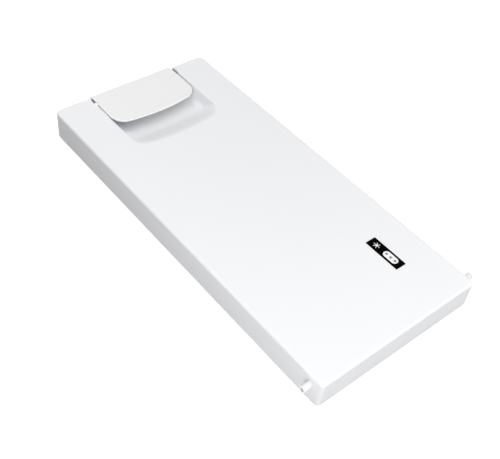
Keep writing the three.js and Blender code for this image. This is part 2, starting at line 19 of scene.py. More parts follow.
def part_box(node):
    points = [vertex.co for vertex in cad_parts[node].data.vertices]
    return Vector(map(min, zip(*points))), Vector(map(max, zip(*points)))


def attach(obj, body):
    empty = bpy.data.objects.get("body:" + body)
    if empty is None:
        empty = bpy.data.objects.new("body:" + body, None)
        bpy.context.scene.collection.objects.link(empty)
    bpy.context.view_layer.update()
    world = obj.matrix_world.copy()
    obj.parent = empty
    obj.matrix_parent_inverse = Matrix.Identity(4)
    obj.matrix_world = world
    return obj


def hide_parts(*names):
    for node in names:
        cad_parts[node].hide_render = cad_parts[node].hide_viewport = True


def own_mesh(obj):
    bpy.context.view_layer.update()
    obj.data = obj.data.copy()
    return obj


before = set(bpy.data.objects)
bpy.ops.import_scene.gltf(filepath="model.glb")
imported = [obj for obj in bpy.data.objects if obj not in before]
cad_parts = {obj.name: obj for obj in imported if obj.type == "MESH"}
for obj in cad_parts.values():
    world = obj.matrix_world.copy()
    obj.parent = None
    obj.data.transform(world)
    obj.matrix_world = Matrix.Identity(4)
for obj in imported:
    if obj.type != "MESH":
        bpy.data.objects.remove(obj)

log = logging.getLogger("freezer_door")

MM = 0.001
NEAR = MM / 10  # how far from a plane a point may be and still count as on it
TIGHT = MM / 100  # how far apart two points may be and still count as one
HAIR = MM / 1000  # the same, on a finished piece
PAST = 6 * MM  # how far a cutter runs past the surface that it opens
BITE = 0.5 * MM  # how far a rib or post runs into the wall that it grows from
UP = Vector((0, 0, 1)).freeze()
ACROSS = Vector((0, 1, 0)).freeze()
SIDES = (-1, 1)  # the lower and the upper side of the door

Colour = tuple[float, float, float]


# ---- Shop tools ----------------------------------------------------------------------------------
class Join(Enum):
    """How one solid is worked into another."""

    ADD = "UNION"
    CUT = "DIFFERENCE"
    KEEP = "INTERSECT"


@dataclass(frozen=True)
class Line:
    """A straight step of an outline, by its offset."""

    step: Vector


@dataclass(frozen=True)
class Arc:
    """A round step of an outline, turned about a centre."""

    centre: Vector
    angle: float
    pieces: int


def deselect() -> None:
    """Leaves no object selected."""
    bpy.ops.object.select_all(action="DESELECT")


def take(obj: Object) -> None:
    """Selects one object alone and makes it active."""
    deselect()
    obj.select_set(True)
    bpy.context.view_layer.objects.active = obj


def fresh(name: str) -> Object:
    """Names the primitive just added and puts its place into its mesh.

    Args:
        name: The piece's name.

    Returns:
        The object, at the origin, unturned and unscaled.
    """
    obj = bpy.context.object
    obj.name = name
    obj.data.name = name
    bpy.ops.object.transform_apply(location=True, rotation=True, scale=True)
    return obj


def block(name: str, low: Sequence[float], high: Sequence[float]) -> Object:
    """Adds a box between two corners.

    Args:
        name: The piece's name.
        low: Lowest corner.
        high: Highest corner.

    Returns:
        The box.
    """
    low, high = Vector(low), Vector(high)
    deselect()
    bpy.ops.mesh.primitive_cube_add(size=1, location=(low + high) / 2, scale=high - low)
    return fresh(name)


def rod(
    name: str, start: Sequence[float], end: Sequence[float], radius: float, sides: int = 48
) -> Object:
    """Adds a round bar between two points.

    Args:
        name: The piece's name.
        start: Middle of one end.
        end: Middle of the other end.
        radius: The bar's radius.
        sides: How many flats make its round.

    Returns:
        The bar.
    """
    start, end = Vector(start), Vector(end)
    along = end - start
    deselect()
    bpy.ops.mesh.primitive_cylinder_add(
        vertices=sides,
        radius=radius,
        depth=along.length,
        location=(start + end) / 2,
        rotation=along.to_track_quat("Z", "Y").to_euler(),
    )
    return fresh(name)


@contextmanager
def editing(obj: Object, parts: str = "EDGE") -> Iterator[None]:
    """Opens an object in edit mode with nothing selected.

    Args:
        obj: The object to open.
        parts: VERT, EDGE or FACE.

    Returns:
        A context in which the object is open. It is closed again at the end.
    """
    take(obj)
    bpy.ops.object.mode_set(mode="EDIT")
    bpy.ops.mesh.select_mode(type=parts)
    bpy.ops.mesh.select_all(action="DESELECT")
    yield
    bpy.ops.object.mode_set(mode="OBJECT")


def pick_all() -> None:
    """Selects all of the open mesh."""
    bpy.ops.mesh.select_all(action="SELECT")


def pick_edges(wanted: Callable[[Vector, Vector], bool]) -> None:
    """Selects the edges of the open mesh whose two ends pass a test.

    Args:
        wanted: The test, given the two ends.
    """
    mesh = bmesh.from_edit_mesh(bpy.context.edit_object.data)
    for edge in mesh.edges:
        edge.select_set(wanted(edge.verts[0].co, edge.verts[1].co))
    mesh.select_flush_mode()
    bmesh.update_edit_mesh(bpy.context.edit_object.data)


def pick_faces(wanted: Callable[[Vector, Vector], bool]) -> None:
    """Selects the faces of the open mesh by their middle and normal.

    Args:
        wanted: The test, given a face's middle and its normal.
    """
    mesh = bmesh.from_edit_mesh(bpy.context.edit_object.data)
    for face in mesh.faces:
        face.select_set(wanted(face.calc_center_median(), face.normal))
    mesh.select_flush_mode()
    bmesh.update_edit_mesh(bpy.context.edit_object.data)


def round_edges(width: float, pieces: int) -> None:
    """Rounds the selected edges of the open mesh.

    Args:
        width: How far the round reaches from the edge.
        pieces: How many flats make the round.
    """
    bpy.ops.mesh.bevel(
        offset=width, offset_type="OFFSET", segments=pieces, affect="EDGES", clamp_overlap=True
    )


def finished_with(obj: Object, kind: str, **settings: object) -> Object:
    """Gives an object a modifier and applies it.

    Args:
        obj: The object.
        kind: The modifier's type.
        **settings: The modifier's values by name.

    Returns:
        The same object.
    """
    take(obj)
    bpy.ops.object.modifier_add(type=kind)
    modifier = obj.modifiers[-1]
    for name, value in settings.items():
        setattr(modifier, name, value)
    bpy.ops.object.modifier_apply(modifier=modifier.name)
    return obj


def outlined(
    name: str, start: Vector, steps: Sequence[Line | Arc], depth: Vector, axis: Vector | None = None
) -> Object:
    """Draws a closed outline from one point and runs it out to a solid.

    Args:
        name: The piece's name.
        start: Where the outline starts and ends.
        steps: Its straight and round steps, without the last one back to the start.
        depth: How far and which way the outline is run out.
        axis: The line that the arcs turn about, or None for the depth's own direction.

    Returns:
        The solid.
    """
    turn = (axis or depth).normalized()
    deselect()
    bpy.ops.mesh.primitive_plane_add(size=MM, location=start)
    obj = fresh(name)
    with editing(obj, "VERT"):
        pick_all()
        bpy.ops.mesh.merge(type="CENTER")
        for step in steps:
            if isinstance(step, Line):
                bpy.ops.mesh.extrude_vertices_move(TRANSFORM_OT_translate={"value": step.step})
            else:
                bpy.ops.mesh.spin(
                    steps=step.pieces, angle=-step.angle, center=step.centre, axis=turn
                )
        pick_all()
        bpy.ops.mesh.remove_doubles(threshold=TIGHT)
        bpy.ops.mesh.edge_face_add()
        pick_all()
        bpy.ops.mesh.extrude_region_move(TRANSFORM_OT_translate={"value": depth})
        pick_all()
        bpy.ops.mesh.normals_make_consistent(inside=False)
    return obj


def turned(
    name: str, foot: Vector, along: Vector, profile: Sequence[tuple[float, float]], sides: int = 40
) -> Object:
    """Turns a solid of revolution, as on a lathe.

    Args:
        name: The piece's name.
        foot: The point on the axis that the profile is measured from.
        along: The axis.
        profile: Steps of radius and distance along the axis. It starts and ends on the axis.
        sides: How many flats make its round.

    Returns:
        The solid.
    """
    axis = along.normalized()
    out = axis.orthogonal().normalized()
    points = [foot + out * radius + axis * distance for radius, distance in profile]
    deselect()
    bpy.ops.mesh.primitive_plane_add(size=MM, location=points[0])
    obj = fresh(name)
    with editing(obj, "VERT"):
        pick_all()
        bpy.ops.mesh.merge(type="CENTER")
        for last, point in zip(points, points[1:]):
            bpy.ops.mesh.extrude_vertices_move(TRANSFORM_OT_translate={"value": point - last})
        pick_all()
        bpy.ops.mesh.spin(steps=sides, angle=math.tau, center=foot, axis=axis)
        pick_all()
        bpy.ops.mesh.remove_doubles(threshold=TIGHT)
        bpy.ops.mesh.normals_make_consistent(inside=False)
    return obj


def coiled(
    name: str,
    start: Vector,
    end: Vector,
    outer: float,
    wire: float,
    turns: int = 7,
    flats: int = 26,
) -> Object:
    """Winds a compression spring between two points on its axis.

    Args:
        name: The spring's name.
        start: Middle of its first end.
        end: Middle of its last end.
        outer: Outer radius of the coil.
        wire: Radius of the wire.
        turns: How many turns it has.
        flats: How many flats make one turn.

    Returns:
        The spring.
    """
    along = end - start
    deselect()
    bpy.ops.mesh.primitive_circle_add(vertices=12, radius=wire, rotation=(math.pi / 2, 0, 0))
    obj = fresh(name)
    with editing(obj, "VERT"):
        pick_all()
        bpy.ops.transform.translate(value=(outer - wire, 0, wire))
    finished_with(
        obj,
        "SCREW",
        axis="Z",
        angle=turns * math.tau,
        screw_offset=along.length - 2 * wire,
        steps=turns * flats,
        render_steps=turns * flats,
    )
    with editing(obj, "VERT"):
        pick_all()
        bpy.ops.mesh.fill_holes(sides=0)
        pick_all()
        bpy.ops.mesh.normals_make_consistent(inside=False)
    obj.rotation_euler = along.to_track_quat("Z", "Y").to_euler()
    obj.location = start
    take(obj)
    return fresh(name)


def joined(name: str, pieces: Sequence[Object]) -> Object:
    """Makes one object of several that don't touch.

    Args:
        name: The name of the result.
        pieces: The objects to join.

    Returns:
        The joined object.
    """
    take(pieces[0])
    for piece in pieces[1:]:
        piece.select_set(True)
    bpy.ops.object.join()
    pieces[0].name = name
    return pieces[0]


def work(obj: Object, how: Join, other: Object) -> Object:
    """Works one solid into another and throws the tool away.

    Args:
        obj: The solid that is kept.
        how: Whether the other is added, cut out, or marks what stays.
        other: The tool, which is removed.

    Returns:
        The kept solid.
    """
    finished_with(obj, "BOOLEAN", operation=how.value, solver="EXACT", object=other)
    bpy.data.objects.remove(other, do_unlink=True)
    return obj


def soften(obj: Object, width: float, pieces: int = 2, angle: float = 40.0) -> Object:
    """Rounds every edge that is sharper than an angle, by a small width.

    Args:
        obj: The solid.
        width: How far the round reaches from the edge.
        pieces: How many flats make the round.
        angle: The least angle between faces, in degrees.

    Returns:
        The same solid.
    """
    return finished_with(
        obj,
        "BEVEL",
        width=width,
        segments=pieces,
        limit_method="ANGLE",
        angle_limit=math.radians(angle),
    )


def smooth(obj: Object, angle: float = 32.0) -> Object:
    """Shades the rounds smoothly while flats stay flat.

    Args:
        obj: The finished solid.
        angle: The sharpest edge that is shaded smoothly, in degrees.

    Returns:
        The same solid.
    """
    with editing(obj, "VERT"):
        pick_all()
        bpy.ops.mesh.remove_doubles(threshold=HAIR)
        bpy.ops.mesh.dissolve_degenerate(threshold=HAIR)
    take(obj)
    bpy.ops.object.shade_smooth_by_angle(angle=math.radians(angle))
    return finished_with(obj, "WEIGHTED_NORMAL", keep_sharp=True, weight=100)


def copied(obj: Object, name: str, shift: Vector) -> Object:
    """Copies a solid with its own mesh and moves the copy.

    Args:
        obj: The solid to copy.
        name: The copy's name.
        shift: How far the copy is moved.

    Returns:
        The copy, with its place in its mesh.
    """
    take(obj)
    bpy.ops.object.duplicate(linked=False)
    bpy.ops.transform.translate(value=shift)
    return fresh(name)


# ---- Finishes ------------------------------------------------------------------------------------
def socket(
    tree: NodeTree, name: str, kind: str, is_input: bool, value: float | None = None
) -> None:
    """Adds a named socket to a node group.

    Args:
        tree: The node group.
        name: The socket's name.
        kind: The socket's type without its prefix, such as Float.
        is_input: True for an input.
        value: An input's default value.
    """
    made = tree.interface.new_socket(
        name=name, in_out="INPUT" if is_input else "OUTPUT", socket_type=f"NodeSocket{kind}"
    )
    if value is not None:
        made.default_value = value


def mould_grain() -> ShaderNodeTree:
    """Builds the fine, even grain of a moulded surface with its slow drift in tone.

    Returns:
        A group with a Height for bumps, a Grain mask and a Drift mask.
    """
    tree = bpy.data.node_groups.new("mould_grain", "ShaderNodeTree")
    socket(tree, "Vector", "Vector", True)
    socket(tree, "Grain Scale", "Float", True, 900.0)
    socket(tree, "Drift Scale", "Float", True, 9.0)
    for name in ("Height", "Grain", "Drift"):
        socket(tree, name, "Float", False)
    nodes, links = tree.nodes, tree.links
    source, sink = nodes.new("NodeGroupInput"), nodes.new("NodeGroupOutput")
    grain, ripple, drift = (nodes.new("ShaderNodeTexNoise") for _ in range(3))
    grain.inputs["Detail"].default_value = 3.0
    ripple.inputs["Scale"].default_value = 70.0
    ripple.inputs["Detail"].default_value = 1.0
    drift.inputs["Detail"].default_value = 2.0
    for noise in (grain, ripple, drift):
        links.new(source.outputs["Vector"], noise.inputs["Vector"])
    links.new(source.outputs["Grain Scale"], grain.inputs["Scale"])
    links.new(source.outputs["Drift Scale"], drift.inputs["Scale"])
    blend = nodes.new("ShaderNodeMix")
    blend.data_type = "FLOAT"
    blend.inputs["Factor"].default_value = 0.35
    links.new(grain.outputs["Fac"], blend.inputs["A"])
    links.new(ripple.outputs["Fac"], blend.inputs["B"])
    links.new(blend.outputs["Result"], sink.inputs["Height"])
    links.new(grain.outputs["Fac"], sink.inputs["Grain"])
    links.new(drift.outputs["Fac"], sink.inputs["Drift"])
    return tree


def foam_beads() -> ShaderNodeTree:
    """Builds the pressed beads of polystyrene foam.

    Returns:
        A group with a Height that sinks between beads, a Tone per bead and a Seam mask.
    """
    tree = bpy.data.node_groups.new("foam_beads", "ShaderNodeTree")
    socket(tree, "Vector", "Vector", True)
    socket(tree, "Beads", "Float", True, 300.0)
    for name in ("Height", "Tone", "Seam"):
        socket(tree, name, "Float", False)
    nodes, links = tree.nodes, tree.links
    source, sink = nodes.new("NodeGroupInput"), nodes.new("NodeGroupOutput")
    cells, edges = nodes.new("ShaderNodeTexVoronoi"), nodes.new("ShaderNodeTexVoronoi")
    edges.feature = "DISTANCE_TO_EDGE"
    for texture in (cells, edges):
        links.new(source.outputs["Vector"], texture.inputs["Vector"])
        links.new(source.outputs["Beads"], texture.inputs["Scale"])
    dome = nodes.new("ShaderNodeMapRange")
    dome.interpolation_type = "SMOOTHSTEP"
    dome.inputs["From Max"].default_value = 0.18
    links.new(edges.outputs["Distance"], dome.inputs["Value"])
    split = nodes.new("ShaderNodeSeparateColor")
    links.new(cells.outputs["Color"], split.inputs["Color"])
    flip = nodes.new("ShaderNodeMath")
    flip.operation = "SUBTRACT"
    flip.inputs[0].default_value = 1.0
    links.new(dome.outputs["Result"], flip.inputs[1])
    links.new(dome.outputs["Result"], sink.inputs["Height"])
    links.new(split.outputs["Red"], sink.inputs["Tone"])
    links.new(flip.outputs["Value"], sink.inputs["Seam"])
    return tree


def blank(name: str) -> tuple[Material, ShaderNodeTree, ShaderNode]:
    """Makes a material that has only its shader.

    Args:
        name: The material's name.

    Returns:
        The material, its nodes and its shader.
    """
    made = bpy.data.materials.new(name)
    made.use_nodes = True
    return made, made.node_tree, made.node_tree.nodes["Principled BSDF"]


def effect(tree: NodeTree, group: NodeTree, place: NodeSocket, **values: float) -> ShaderNode:
    """Places a node group in a material, with values of its own.

    Args:
        tree: The material's nodes.
        group: The node group.
        place: The coordinates that it reads.
        **values: The group's inputs by name, with underscores for spaces.

    Returns:
        The group's node.
    """
    node = tree.nodes.new("ShaderNodeGroup")
    node.node_tree = group
    for name, value in values.items():
        node.inputs[name.replace("_", " ")].default_value = value
    tree.links.new(place, node.inputs["Vector"])
    return node


def two_tone(tree: NodeTree, mask: NodeSocket, shade: Colour, light: Colour) -> ShaderNode:
    """Mixes two colours by a mask.

    Args:
        tree: The material's nodes.
        mask: What mixes them.
        shade: The colour where the mask is 0.
        light: The colour where the mask is 1.

    Returns:
        The node that mixes them.
    """
    mix = tree.nodes.new("ShaderNodeMix")
    mix.data_type = "RGBA"
    mix.inputs["A"].default_value = (*shade, 1.0)
    mix.inputs["B"].default_value = (*light, 1.0)
    tree.links.new(mask, mix.inputs["Factor"])
    return mix


def satin(
    tree: NodeTree, mask: NodeSocket, roughness: tuple[float, float], window: tuple[float, float]
) -> NodeSocket:
    """Spreads a mask over a range of roughness.

    Args:
        tree: The material's nodes.
        mask: The mask.
        roughness: The least and the most roughness.
        window: The part of the mask that is spread over them.

    Returns:
        The roughness.
    """
    gloss = tree.nodes.new("ShaderNodeMapRange")
    gloss.inputs["From Min"].default_value, gloss.inputs["From Max"].default_value = window
    gloss.inputs["To Min"].default_value, gloss.inputs["To Max"].default_value = roughness
    tree.links.new(mask, gloss.inputs["Value"])
    return gloss.outputs["Result"]


def bumps(tree: NodeTree, height: NodeSocket, depth: float) -> NodeSocket:
    """Turns a height into a fine relief of the surface.

    Args:
        tree: The material's nodes.
        height: The height, from 0 to 1.
        depth: How deep the relief is.

    Returns:
        The normal.
    """
    bump = tree.nodes.new("ShaderNodeBump")
    bump.inputs["Distance"].default_value = depth
    tree.links.new(height, bump.inputs["Height"])
    return bump.outputs["Normal"]


@dataclass(frozen=True)
class MouldedPlastic:
    """Injection-moulded plastic: a near-even colour, a satin skin and a fine grain."""

    name: str
    light: Colour
    shade: Colour
    roughness: tuple[float, float] = (0.42, 0.52)
    grain_scale: float = 900.0
    drift_scale: float = 9.0
    grain_depth: float = 0.012 * MM
    specular: float = 0.5
    scatter: float = 0.0

    def material(self, groups: dict[str, ShaderNodeTree]) -> Material:
        """Builds the material.

        Args:
            groups: The shared node groups by name.

        Returns:
            The finished material.
        """
        made, tree, shader = blank(self.name)
        place = tree.nodes.new("ShaderNodeTexCoord").outputs["Object"]
        grain = effect(
            tree,
            groups["mould_grain"],
            place,
            Grain_Scale=self.grain_scale,
            Drift_Scale=self.drift_scale,
        ).outputs
        tone = two_tone(tree, grain["Drift"], self.shade, self.light)
        gloss = satin(tree, grain["Grain"], self.roughness, (0.3, 0.7))
        tree.links.new(tone.outputs["Result"], shader.inputs["Base Color"])
        tree.links.new(gloss, shader.inputs["Roughness"])
        tree.links.new(bumps(tree, grain["Height"], self.grain_depth), shader.inputs["Normal"])
        shader.inputs["Specular IOR Level"].default_value = self.specular
        shader.inputs["Subsurface Weight"].default_value = self.scatter
        shader.inputs["Subsurface Radius"].default_value = (MM, MM, MM)
        return made


@dataclass(frozen=True)
class DrawnSteel:
    """Steel wire or bar with the fine lines of its drawing or turning."""

    name: str
    light: Colour
    shade: Colour
    roughness: tuple[float, float]
    stretch: tuple[float, float, float]
    line_scale: float = 1400.0
    drift_scale: float = 60.0
    line_depth: float = 0.01 * MM

    def material(self, groups: dict[str, ShaderNodeTree]) -> Material:
        """Builds the material.

        Args:
            groups: The shared node groups by name.

        Returns:
            The finished material.
        """
        made, tree, shader = blank(self.name)
        place, mapping = (tree.nodes.new(f"ShaderNode{kind}") for kind in ("TexCoord", "Mapping"))
        mapping.inputs["Scale"].default_value = self.stretch
        tree.links.new(place.outputs["Object"], mapping.inputs["Vector"])
        lines = effect(
            tree,
            groups["mould_grain"],
            mapping.outputs["Vector"],
            Grain_Scale=self.line_scale,
            Drift_Scale=self.drift_scale,
        ).outputs
        tone = two_tone(tree, lines["Drift"], self.shade, self.light)
        gloss = satin(tree, lines["Grain"], self.roughness, (0.0, 1.0))
        tree.links.new(tone.outputs["Result"], shader.inputs["Base Color"])
        tree.links.new(gloss, shader.inputs["Roughness"])
        tree.links.new(bumps(tree, lines["Height"], self.line_depth), shader.inputs["Normal"])
        shader.inputs["Metallic"].default_value = 1.0
        return made


@dataclass(frozen=True)
class BeadFoam:
    """Expanded polystyrene, pressed from beads."""

    name: str
    light: Colour
    shade: Colour
    beads: float = 300.0
    bead_depth: float = 0.3 * MM
    roughness: float = 0.85

    def material(self, groups: dict[str, ShaderNodeTree]) -> Material:
        """Builds the material.

        Args:
            groups: The shared node groups by name.

        Returns:
            The finished material.
        """
        made, tree, shader = blank(self.name)
        place = tree.nodes.new("ShaderNodeTexCoord").outputs["Object"]
        beads = effect(tree, groups["foam_beads"], place, Beads=self.beads).outputs
        tone = two_tone(tree, beads["Tone"], self.shade, self.light)
        seam = two_tone(tree, beads["Seam"], self.light, self.shade)
        tree.links.new(tone.outputs["Result"], seam.inputs["A"])
        tree.links.new(seam.outputs["Result"], shader.inputs["Base Color"])
        tree.links.new(bumps(tree, beads["Height"], self.bead_depth), shader.inputs["Normal"])
        shader.inputs["Roughness"].default_value = self.roughness
        return made


class Surface(Enum):
    """The finishes of the door, each with the material slot that it belongs to."""

    SHELL = "white_abs_shell"
    HANDLE = "white_abs_handle"
    LINER = "white_liner"
    PIN = "white_pin"
    ACETAL = "natural_acetal"
    SEAL = "seal_pvc"
    FOAM = "foam"
    LABEL = "badge_black"
    PRINT = "badge_print"
    SPRING = "spring_steel"
    STEEL = "zinc_steel"

    @property
    def slot(self) -> str:
        """The material slot of this finish. The label's print has none of its own."""
        return Surface.SHELL.value if self is Surface.PRINT else self.value


def finishes() -> dict[Surface, Material]:
    """Builds every material of the door once.

    Returns:
        The material of each surface.
    """
    groups = {"mould_grain": mould_grain(), "foam_beads": foam_beads()}
    recipes = {
        Surface.SHELL: MouldedPlastic("shell_white", (0.89, 0.895, 0.915), (0.87, 0.875, 0.895)),
        Surface.HANDLE: MouldedPlastic(
            "handle_white", (0.895, 0.896, 0.897), (0.875, 0.876, 0.877)
        ),
        Surface.LINER: MouldedPlastic(
            "liner_white", (0.88, 0.89, 0.9), (0.85, 0.86, 0.87), (0.34, 0.46), 500.0
        ),
        Surface.PIN: MouldedPlastic("pin_white", (0.89, 0.89, 0.9), (0.86, 0.86, 0.87)),
        Surface.ACETAL: MouldedPlastic(
            "acetal_natural", (0.78, 0.77, 0.72), (0.73, 0.72, 0.67), (0.36, 0.48), scatter=0.15
        ),
        Surface.SEAL: MouldedPlastic(
            "seal_grey_white",
            (0.7, 0.71, 0.72),
            (0.65, 0.66, 0.67),
            (0.55, 0.7),
            1200.0,
            specular=0.35,
        ),
        Surface.FOAM: BeadFoam("foam_white", (0.88, 0.88, 0.86), (0.76, 0.76, 0.74)),
        Surface.LABEL: MouldedPlastic(
            "label_black",
            (0.0015, 0.0015, 0.0015),
            (0.001, 0.001, 0.001),
            (0.6, 0.7),
            1500.0,
            specular=0.02,
        ),
        Surface.PRINT: MouldedPlastic(
            "print_white", (0.9, 0.9, 0.9), (0.87, 0.87, 0.87), (0.4, 0.5), 1500.0
        ),
        Surface.SPRING: DrawnSteel(
            "spring_wire", (0.62, 0.62, 0.63), (0.5, 0.5, 0.52), (0.2, 0.4), (1.0, 1.0, 0.2)
        ),
        Surface.STEEL: DrawnSteel(
            "zinc_plate", (0.7, 0.71, 0.73), (0.58, 0.59, 0.62), (0.22, 0.42), (1.0, 0.06, 1.0)
        ),
    }
    return {surface: recipe.material(groups) for surface, recipe in recipes.items()}


def dress(obj: Object, surface: Surface, materials: dict[Surface, Material]) -> None:
    """Gives a piece one finish all over.

    Args:
        obj: The piece.
        surface: Its finish.
        materials: The materials by surface.
    """
    obj.data.materials.clear()
    obj.data.materials.append(materials[surface])


# ---- The door's layout ---------------------------------------------------------------------------
@dataclass(frozen=True)
class Layout:
    """The door's main planes and lines, read from the frame."""

    handle_x: float
    hinge_x: float
    lower_y: float
    upper_y: float
    rim_z: float
    face_z: float
    axle: Vector
    handle_corner: float = 9 * MM
    hinge_corner: float = 4.5 * MM
    spring_x: float = 8.5 * MM  # of the handle's springs, from the handle end
    spring_y: float = 36 * MM  # of the handle's springs, from the middle line
    screw_bore: float = 1.9 * MM

    @property
    def mid_y(self) -> float:
        """The line half-way between the lower and the upper edge."""
        return (self.lower_y + self.upper_y) / 2

    @classmethod
    def read(cls) -> "Layout":
        """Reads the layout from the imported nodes.

        Returns:
            The layout.
        """
        low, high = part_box("front_shell")
        axle_low, axle_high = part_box("handle_axle")
        return cls(
            handle_x=low[0],
            hinge_x=high[0],
            lower_y=low[1],
            upper_y=high[1],
            rim_z=low[2],
            face_z=high[2],
            axle=(axle_low + axle_high) / 2,
        )

    def at(self, x: float, y: float, depth: float) -> Vector:
        """A point by its distance from the handle end, from the middle line and below the face."""
        return Vector((self.handle_x + x, self.mid_y + y, self.face_z - depth))

    def over_spring(self, side: int, depth: float) -> Vector:
        """A point on the axis of the handle's spring on one side, below the face."""
        return self.at(self.spring_x, side * self.spring_y, depth)

    def slab(
        self, name: str, inset: float, low: float, high: float, corner: float | None = None
    ) -> Object:
        """Makes a slab that follows the door's outline.

        Args:
            name: The slab's name.
            inset: How far it is drawn in from the outline.
            low: Height of its lower side.
            high: Height of its upper side.
            corner: Radius of its corners, or None for the outline's own, drawn in.

        Returns:
            The slab.
        """
        body = block(
            name,
            (self.handle_x + inset, self.lower_y + inset, low),
            (self.hinge_x - inset, self.upper_y - inset, high),
        )
        for at_handle, own in ((True, self.handle_corner), (False, self.hinge_corner)):
            radius = own - inset if corner is None else corner
            if radius > 0:
                with editing(body):
                    pick_edges(lambda a, b: upright(a, b) and (a.x < 0) == at_handle)
                    round_edges(radius, pieces=10)
        return body

    def band(self, name: str, outer: float, inner: float, low: float, high: float) -> Object:
        """Makes a frame that follows the door's outline between two insets.

        Args:
            name: The frame's name.
            outer: Inset of its outside.
            inner: Inset of its inside.
            low: Height of its lower side.
            high: Height of its upper side.

        Returns:
            The frame.
        """
        return work(
            self.slab(name, outer, low, high),
            Join.CUT,
            self.slab("inside", inner, low - PAST, high + PAST),
        )


def upright(a: Vector, b: Vector) -> bool:
    """Whether an edge stands upright."""
    return abs(a.z - b.z) > NEAR and (a - b).to_2d().length < TIGHT


def middle_of(node: str) -> Vector:
    """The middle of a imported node's box."""
    low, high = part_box(node)
    return (low + high) / 2


def screw_nodes() -> list[str]:
    """The names of the rear panel's screws."""
    return sorted(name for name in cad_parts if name.startswith("panel_screw_"))


@dataclass(frozen=True)
class Tongue:
    """The plan of a slab with a square end, and a bowed end with round corners."""

    start: float
    end: float
    half: float
    corner: float
    bow: float = 250 * MM

    def drawn_in(self, inset: float, start: float) -> "Tongue":
        """The same plan with its sides and bowed end drawn in, and a start of its own."""
        end, half, corner = (size - inset for size in (self.end, self.half, self.corner))
        return Tongue(start, end, half, corner, self.bow - inset)

    def solid(self, name: str, layout: Layout, top: float, depth: float) -> Object:
        """Makes the slab.

        Args:
            name: The slab's name.
            layout: The door's layout.
            top: Depth of its upper side below the face.
            depth: Depth of its lower side below the face.

        Returns:
            The slab.
        """
        meet = math.asin((self.half - self.corner) / (self.bow - self.corner))
        bow_x = self.end - self.bow
        corner_x = bow_x + (self.bow - self.corner) * math.cos(meet)
        steps = [
            Line(Vector((corner_x - self.start, 0, 0))),
            Arc(layout.at(corner_x, self.corner - self.half, top), math.pi / 2 - meet, pieces=14),
            Arc(layout.at(bow_x, 0, top), 2 * meet, pieces=28),
            Arc(layout.at(corner_x, self.half - self.corner, top), math.pi / 2 - meet, pieces=14),
            Line(Vector((self.start - corner_x, 0, 0))),
        ]
        begin = layout.at(self.start, -self.half, top)
        return outlined(name, begin, steps, Vector((0, 0, top - depth)), UP)


